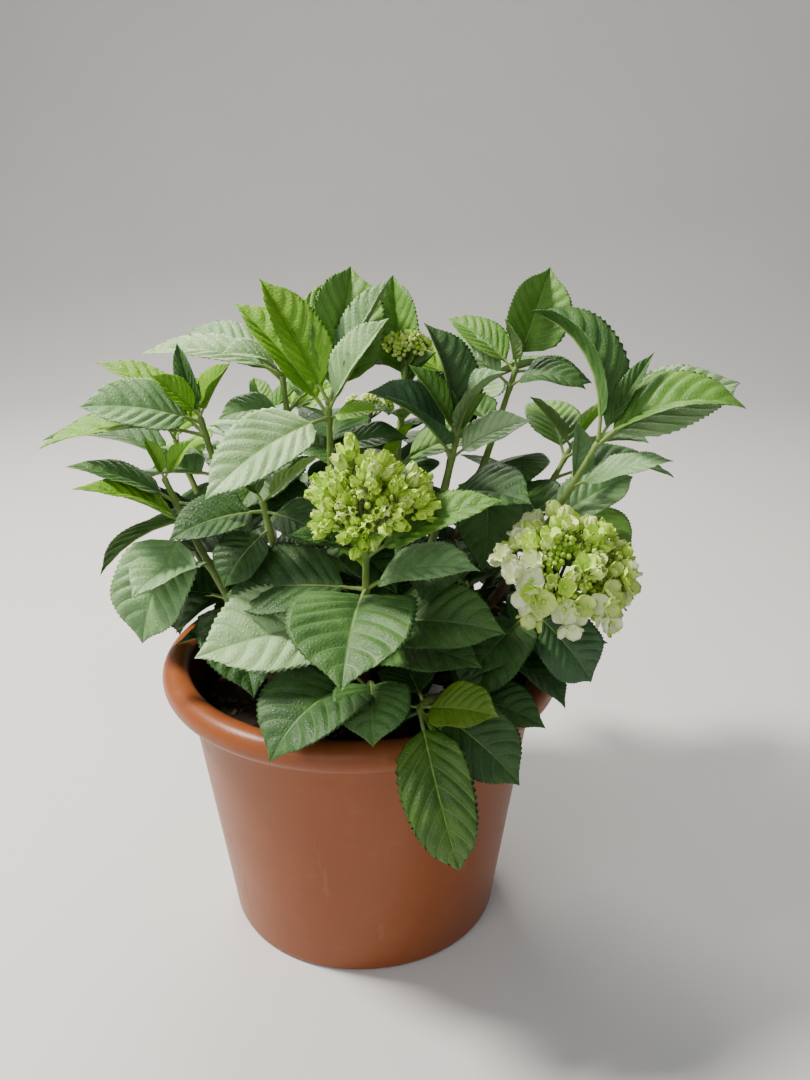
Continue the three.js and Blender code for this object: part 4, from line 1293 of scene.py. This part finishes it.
def thicken(points, faces, depth):
    """A closed shell from an open sheet: a second skin a little under it, and a rim between the two."""
    lowered = points - (0, 0, depth)
    under = [[i + len(points) for i in face[::-1]] for face in faces]
    edges = {}
    for face in faces:
        for a, b in zip(face, face[1:] + face[:1]):
            edges[(a, b)] = True
    rim = [[b, a, a + len(points), b + len(points)] for a, b in edges if (b, a) not in edges]
    return np.concatenate((points, lowered)), faces + under + rim


def frame_on(axis, turn):
    side, other = sides_of(axis)
    first = side * math.cos(turn) + other * math.sin(turn)
    return np.array((first, np.cross(axis, first), axis))


def add_floret(heap, at, facing, size, opened, kind, breadth=1.0):
    """Four sepals in a cross round a bead. opened runs from 0, a tight cup, to 1, flat."""
    turn = bloom_random.uniform(0, math.pi / 2)
    for k in range(4):
        length = size * bloom_random.uniform(0.9, 1.08)
        width = length * breadth * (1.26 if k % 2 else 1.12)
        cup = length * (0.95 - 0.8 * opened)
        points, faces = sepal(length, width, cup, length * 0.14 * (1 - 0.4 * opened))
        points, faces = thicken(points, faces, SEPAL_THICKNESS)
        tilt = math.radians(62 * (1 - opened))
        x = points[:, 0] * math.cos(tilt) - points[:, 2] * math.sin(tilt)
        z = points[:, 0] * math.sin(tilt) + points[:, 2] * math.cos(tilt)
        points = np.stack((x + size * 0.04, points[:, 1], z + 0.3 * (k % 2)), axis=1)
        heap.add(at + points @ frame_on(facing, turn + k * math.pi / 2), faces, kind)


def bead(radius, tall):
    """A small bud: a rounded bead, a little pointed."""
    rows, sides = 5, 7
    points = [(0, 0, -radius * tall)]
    for i in range(1, rows):
        turn = math.pi * i / rows
        for j in range(sides):
            angle = 2 * math.pi * j / sides
            out = radius * math.sin(turn)
            points.append((out * math.cos(angle), out * math.sin(angle), -radius * tall * math.cos(turn)))
    points.append((0, 0, radius * tall * 1.15))
    last = len(points) - 1
    faces = [[0, 1 + (j + 1) % sides, 1 + j] for j in range(sides)]
    for i in range(rows - 2):
        for j in range(sides):
            a, b = 1 + i * sides + j, 1 + i * sides + (j + 1) % sides
            faces.append([a, b, b + sides, a + sides])
    start = 1 + (rows - 2) * sides
    faces += [[start + j, start + (j + 1) % sides, last] for j in range(sides)]
    return np.array(points), faces


BEAD = bead(1.0, 1.15)


def add_bead(heap, at, facing, radius, kind):
    points, faces = BEAD
    heap.add(at + radius * points @ frame_on(facing, bloom_random.uniform(0, 6)), faces, kind)


def cluster_places(bloom):
    """Where the clusters sit: a sunflower spiral over the dome."""
    count, spread = CLUSTERS[bloom["kind"]]
    side, other = sides_of(bloom["axis"])
    least = math.cos(math.radians(spread))
    for i in range(count):
        tilt = math.acos(1 - (i + 0.5) / count * (1 - least))
        turn = i * GOLDEN_TURN
        out = side * math.cos(turn) + other * math.sin(turn)
        at = bloom["middle"] + out * bloom["radius"] * FLORET_DEPTH * math.sin(tilt)
        at = at + bloom["axis"] * bloom["height"] * FLORET_DEPTH * math.cos(tilt)
        yield i, at, unit(out * math.sin(tilt) + bloom["axis"] * (math.cos(tilt) + FLORET_LIFT))


def spray(at, facing, count, spread, reach):
    """Places of a cluster's florets: a small spiral cap round the cluster's centre."""
    side, other = sides_of(facing)
    for k in range(count):
        out = spread * math.sqrt((k + 0.3) / count)
        turn = k * GOLDEN_TURN + bloom_random.uniform(-0.3, 0.3)
        aside = (side * math.cos(turn) + other * math.sin(turn)) * out
        fall = reach * (out / spread) ** 2
        place = at + aside + facing * (bloom_random.uniform(-1.2, 1.2) - fall)
        yield place, unit(facing + aside / spread * 0.75)


def add_branch(heap, start, end, radii, kind=BLOOM_BRANCH):
    shares = np.array((0, 0.35, 0.7, 1))
    middles = start + (end - start) * shares[:, None]
    middles[:, 2] -= BRANCH_SAG * np.sin(math.pi * shares)
    points, faces = tube(middles, np.linspace(*radii, len(shares)), BRANCH_SIDES)
    heap.add(points, faces, kind)


def fill_heart(florets, branches, fork, heart, facing, count, kinds):
    """Small buds on short stalks in two tiers under a cluster, which close the view into the head."""
    for tier, size in ((0, 1.0), (13, 1.5)):
        for bud, aim in spray(heart - facing * tier, facing, count, 12, 4):
            add_branch(branches, fork + (heart - fork) * 0.6, bud, INNER_BUD_STALK)
            radius = size * bloom_random.uniform(1.7, 2.7)
            add_bead(florets, bud, aim, radius, bloom_random.choice(kinds))


def dress_bud(bloom, florets, branches):
    fork = bloom["tip"] + bloom["axis"] * 4
    for _, at, facing in cluster_places(bloom):
        sway = np.array([bloom_random.uniform(-4, 4) for _ in range(3)])
        at = at + sway + facing * bloom_random.uniform(-12, 2)
        heart = at - facing * 11
        add_branch(branches, fork, heart, CLUSTER_STALK)
        fill_heart(florets, branches, fork, heart, facing, 5, (BUD_GREEN, BUD_GREEN, LIME))
        for place, aim in spray(at, facing, 8, 12.5, 7):
            place = place + aim * bloom_random.uniform(-6, 2)
            add_branch(branches, heart, place, FLORET_STALK)
            opened = bloom_random.uniform(0.0, 0.3)
            size = bloom_random.uniform(7.0, 12.5)
            kind = bloom_random.choice((LIME, LIME, PALE_LIME))
            add_floret(florets, place, aim, size, opened, kind, 0.85)
            add_bead(florets, place + aim * 1.4, aim, 1.9, PALE_LIME)


def dress_open(bloom, florets, branches):
    fork = bloom["tip"] + bloom["axis"] * 4
    for _, at, facing in cluster_places(bloom):
        heart = at - facing * 12
        add_branch(branches, fork, heart, CLUSTER_STALK)
        fill_heart(florets, branches, fork, heart, facing, 9, (LIME, BUD_GREEN, BUD_GREEN))
        low = facing[2] < 0.3 or facing[0] < -0.35
        for k, (place, aim) in enumerate(spray(at, facing, 4, 14, 6)):
            place = place + aim * bloom_random.uniform(-5, 1)
            add_branch(branches, heart, place, FLORET_STALK)
            if k == 2 and not low:
                add_beads(florets, branches, heart, place, aim)
                continue
            size = bloom_random.uniform(12.0, 16.0) if low else bloom_random.uniform(10.0, 13.5)
            opened = bloom_random.uniform(0.5, 0.85) if low else bloom_random.uniform(0.3, 0.7)
            pale = low and bloom_random.random() < 0.6
            kind = CREAM if pale else bloom_random.choice((LIME, PALE_LIME, PALE_LIME, PALE_LIME))
            add_floret(florets, place, aim, size, opened, kind)
            add_bead(florets, place + aim * 1.2, aim, 2.1, LIME)


def add_beads(florets, branches, heart, place, aim):
    """A spray of closed buds, which stands among the open florets."""
    for bud, bud_aim in spray(place, aim, 9, 8, 3):
        add_branch(branches, heart, bud, BEAD_STALK)
        size = bloom_random.uniform(1.6, 3.0)
        add_bead(florets, bud, bud_aim, size, bloom_random.choice((LIME, BUD_GREEN, PALE_LIME)))


def dress_young(bloom, florets, branches):
    fork = bloom["tip"] + bloom["axis"] * 2
    for number, at, facing in cluster_places(bloom):
        tier = 3 + 7 * (number % 2)
        heart = at - facing * tier
        add_branch(branches, fork, heart, YOUNG_STALK, YOUNG_BRANCH)
        for place, aim in spray(heart + facing * 4, facing, 16, 9, 3):
            add_branch(branches, heart, place, BEAD_STALK, YOUNG_BRANCH)
            size = bloom_random.uniform(1.7, 2.6)
            add_bead(florets, place, aim, size, bloom_random.choice((LIME, PALE_LIME, PALE_LIME)))


def make_blooms(blooms):
    """The heads of each kind, whose skins stand in the order of LIME to BUD_GREEN."""
    skins = [
        sepal_skin("sepal_lime", (0.43, 0.68, 0.05), (0.66, 0.86, 0.13), (0.34, 0.56, 0.04)),
        sepal_skin("sepal_pale_lime", (0.57, 0.76, 0.16), (0.76, 0.88, 0.3), (0.46, 0.64, 0.11)),
        sepal_skin("sepal_cream", (0.7, 0.8, 0.38), (0.87, 0.91, 0.64), (0.55, 0.69, 0.24)),
        sepal_skin("bud_green", (0.32, 0.54, 0.05), (0.48, 0.7, 0.09), (0.22, 0.42, 0.03)),
    ]
    kinds = {"bud": ("front", dress_bud), "open": ("right", dress_open), "young": ("young", dress_young)}
    for kind, (name, dress) in kinds.items():
        florets = Heap()
        branches = Heap()
        for bloom in blooms:
            if bloom["kind"] == kind:
                dress(bloom, florets, branches)
                start = bloom["tip"] - bloom["axis"] * STEM_TIP_RADIUS
                add_branch(branches, start, bloom["tip"] + bloom["axis"] * 5, HEAD_STALK)
        florets.piece(name + "_head_florets", skins, "foliage")
        twigs = [
            branch_skin("bloom_branch", (0.13, 0.17, 0.045), (0.2, 0.2, 0.08)),
            branch_skin("young_branch", (0.1, 0.1, 0.035), (0.18, 0.2, 0.07)),
        ]
        branches.piece(name + "_head_branches", twigs, "foliage")


make_blooms(growth.blooms)

# The studio: a plain pale floor that curves up into a backdrop, three soft lights and the camera.
CAMERA_PLACE = (0.0, -1.001, 0.789)
CAMERA_YAW = math.radians(2.52)
CAMERA_PITCH = math.radians(-20.95)
FOCAL_PIXELS = 1092
FRAME_HEIGHT_PIXELS = 1080
SENSOR_LONG_SIDE = 36
FLOOR_FRONT = -6.0
FLOOR_HALF_WIDTH = 7.0
SWEEP_START = 2.2
SWEEP_RADIUS = 1.6
SWEEP_STEPS = 16
BACKDROP_TOP = 5.0
LIGHT_TARGET = (0, 0, 0.35)
LIGHTS = {
    "key_light": ((-1.35, 0.1, 2.2), 0.45, 112, (1.0, 0.95, 0.86)),
    "back_light": ((-0.3, 1.8, 1.9), 0.9, 40, (1.0, 0.97, 0.9)),
    "fill_light": ((-1.1, -2.1, 1.5), 2.0, 21, (0.97, 0.99, 1.0)),
}
AIR_COLOUR = (0.95, 0.97, 1.0, 1.0)
AIR_STRENGTH = 0.38


def studio_floor():
    finish = Finish("studio_floor", specular_ior_level=0.2, roughness=0.85)
    return finish.dressed(finish.mix(finish.noise(3, 2), (0.66, 0.655, 0.64), (0.7, 0.695, 0.68)))


def soft_light(name, place, size, watts, colour):
    light = bpy.data.lights.new(name, "AREA")
    light.shape = "DISK"
    light.size = size
    light.energy = watts
    light.color = colour
    holder = bpy.data.objects.new(name, light)
    holder.location = place
    aim = np.array(LIGHT_TARGET) - np.array(place)
    holder.rotation_euler = (math.acos(-aim[2] / np.linalg.norm(aim)), 0, math.atan2(-aim[0], aim[1]))
    bpy.context.scene.collection.objects.link(holder)


def make_studio():
    section = [(FLOOR_FRONT, 0.0), (SWEEP_START, 0.0)]
    for k in range(1, SWEEP_STEPS + 1):
        turn = math.pi / 2 * k / SWEEP_STEPS
        section.append((SWEEP_START + SWEEP_RADIUS * math.sin(turn), SWEEP_RADIUS * (1 - math.cos(turn))))
    section.append((SWEEP_START + SWEEP_RADIUS, BACKDROP_TOP))
    ground = [(x, y, z) for y, z in section for x in (-FLOOR_HALF_WIDTH, FLOOR_HALF_WIDTH)]
    strips = [(2 * k, 2 * k + 1, 2 * k + 3, 2 * k + 2) for k in range(len(section) - 1)]
    floor = mesh_piece("studio_floor", ground, strips, [studio_floor()])
    for name, settings in LIGHTS.items():
        soft_light(name, *settings)
    world = bpy.data.worlds.new("studio_air")
    world.use_nodes = True
    air = world.node_tree.nodes["Background"]
    air.inputs["Color"].default_value = AIR_COLOUR
    air.inputs["Strength"].default_value = AIR_STRENGTH
    bpy.context.scene.world = world


def make_camera():
    lens = bpy.data.cameras.new("camera")
    lens.sensor_fit = "AUTO"
    lens.sensor_width = SENSOR_LONG_SIDE
    lens.lens = SENSOR_LONG_SIDE * FOCAL_PIXELS / FRAME_HEIGHT_PIXELS
    camera = bpy.data.objects.new("camera", lens)
    camera.location = CAMERA_PLACE
    camera.rotation_euler = (math.pi / 2 + CAMERA_PITCH, 0, -CAMERA_YAW)
    bpy.context.scene.collection.objects.link(camera)
    bpy.context.scene.camera = camera


make_studio()
make_camera()
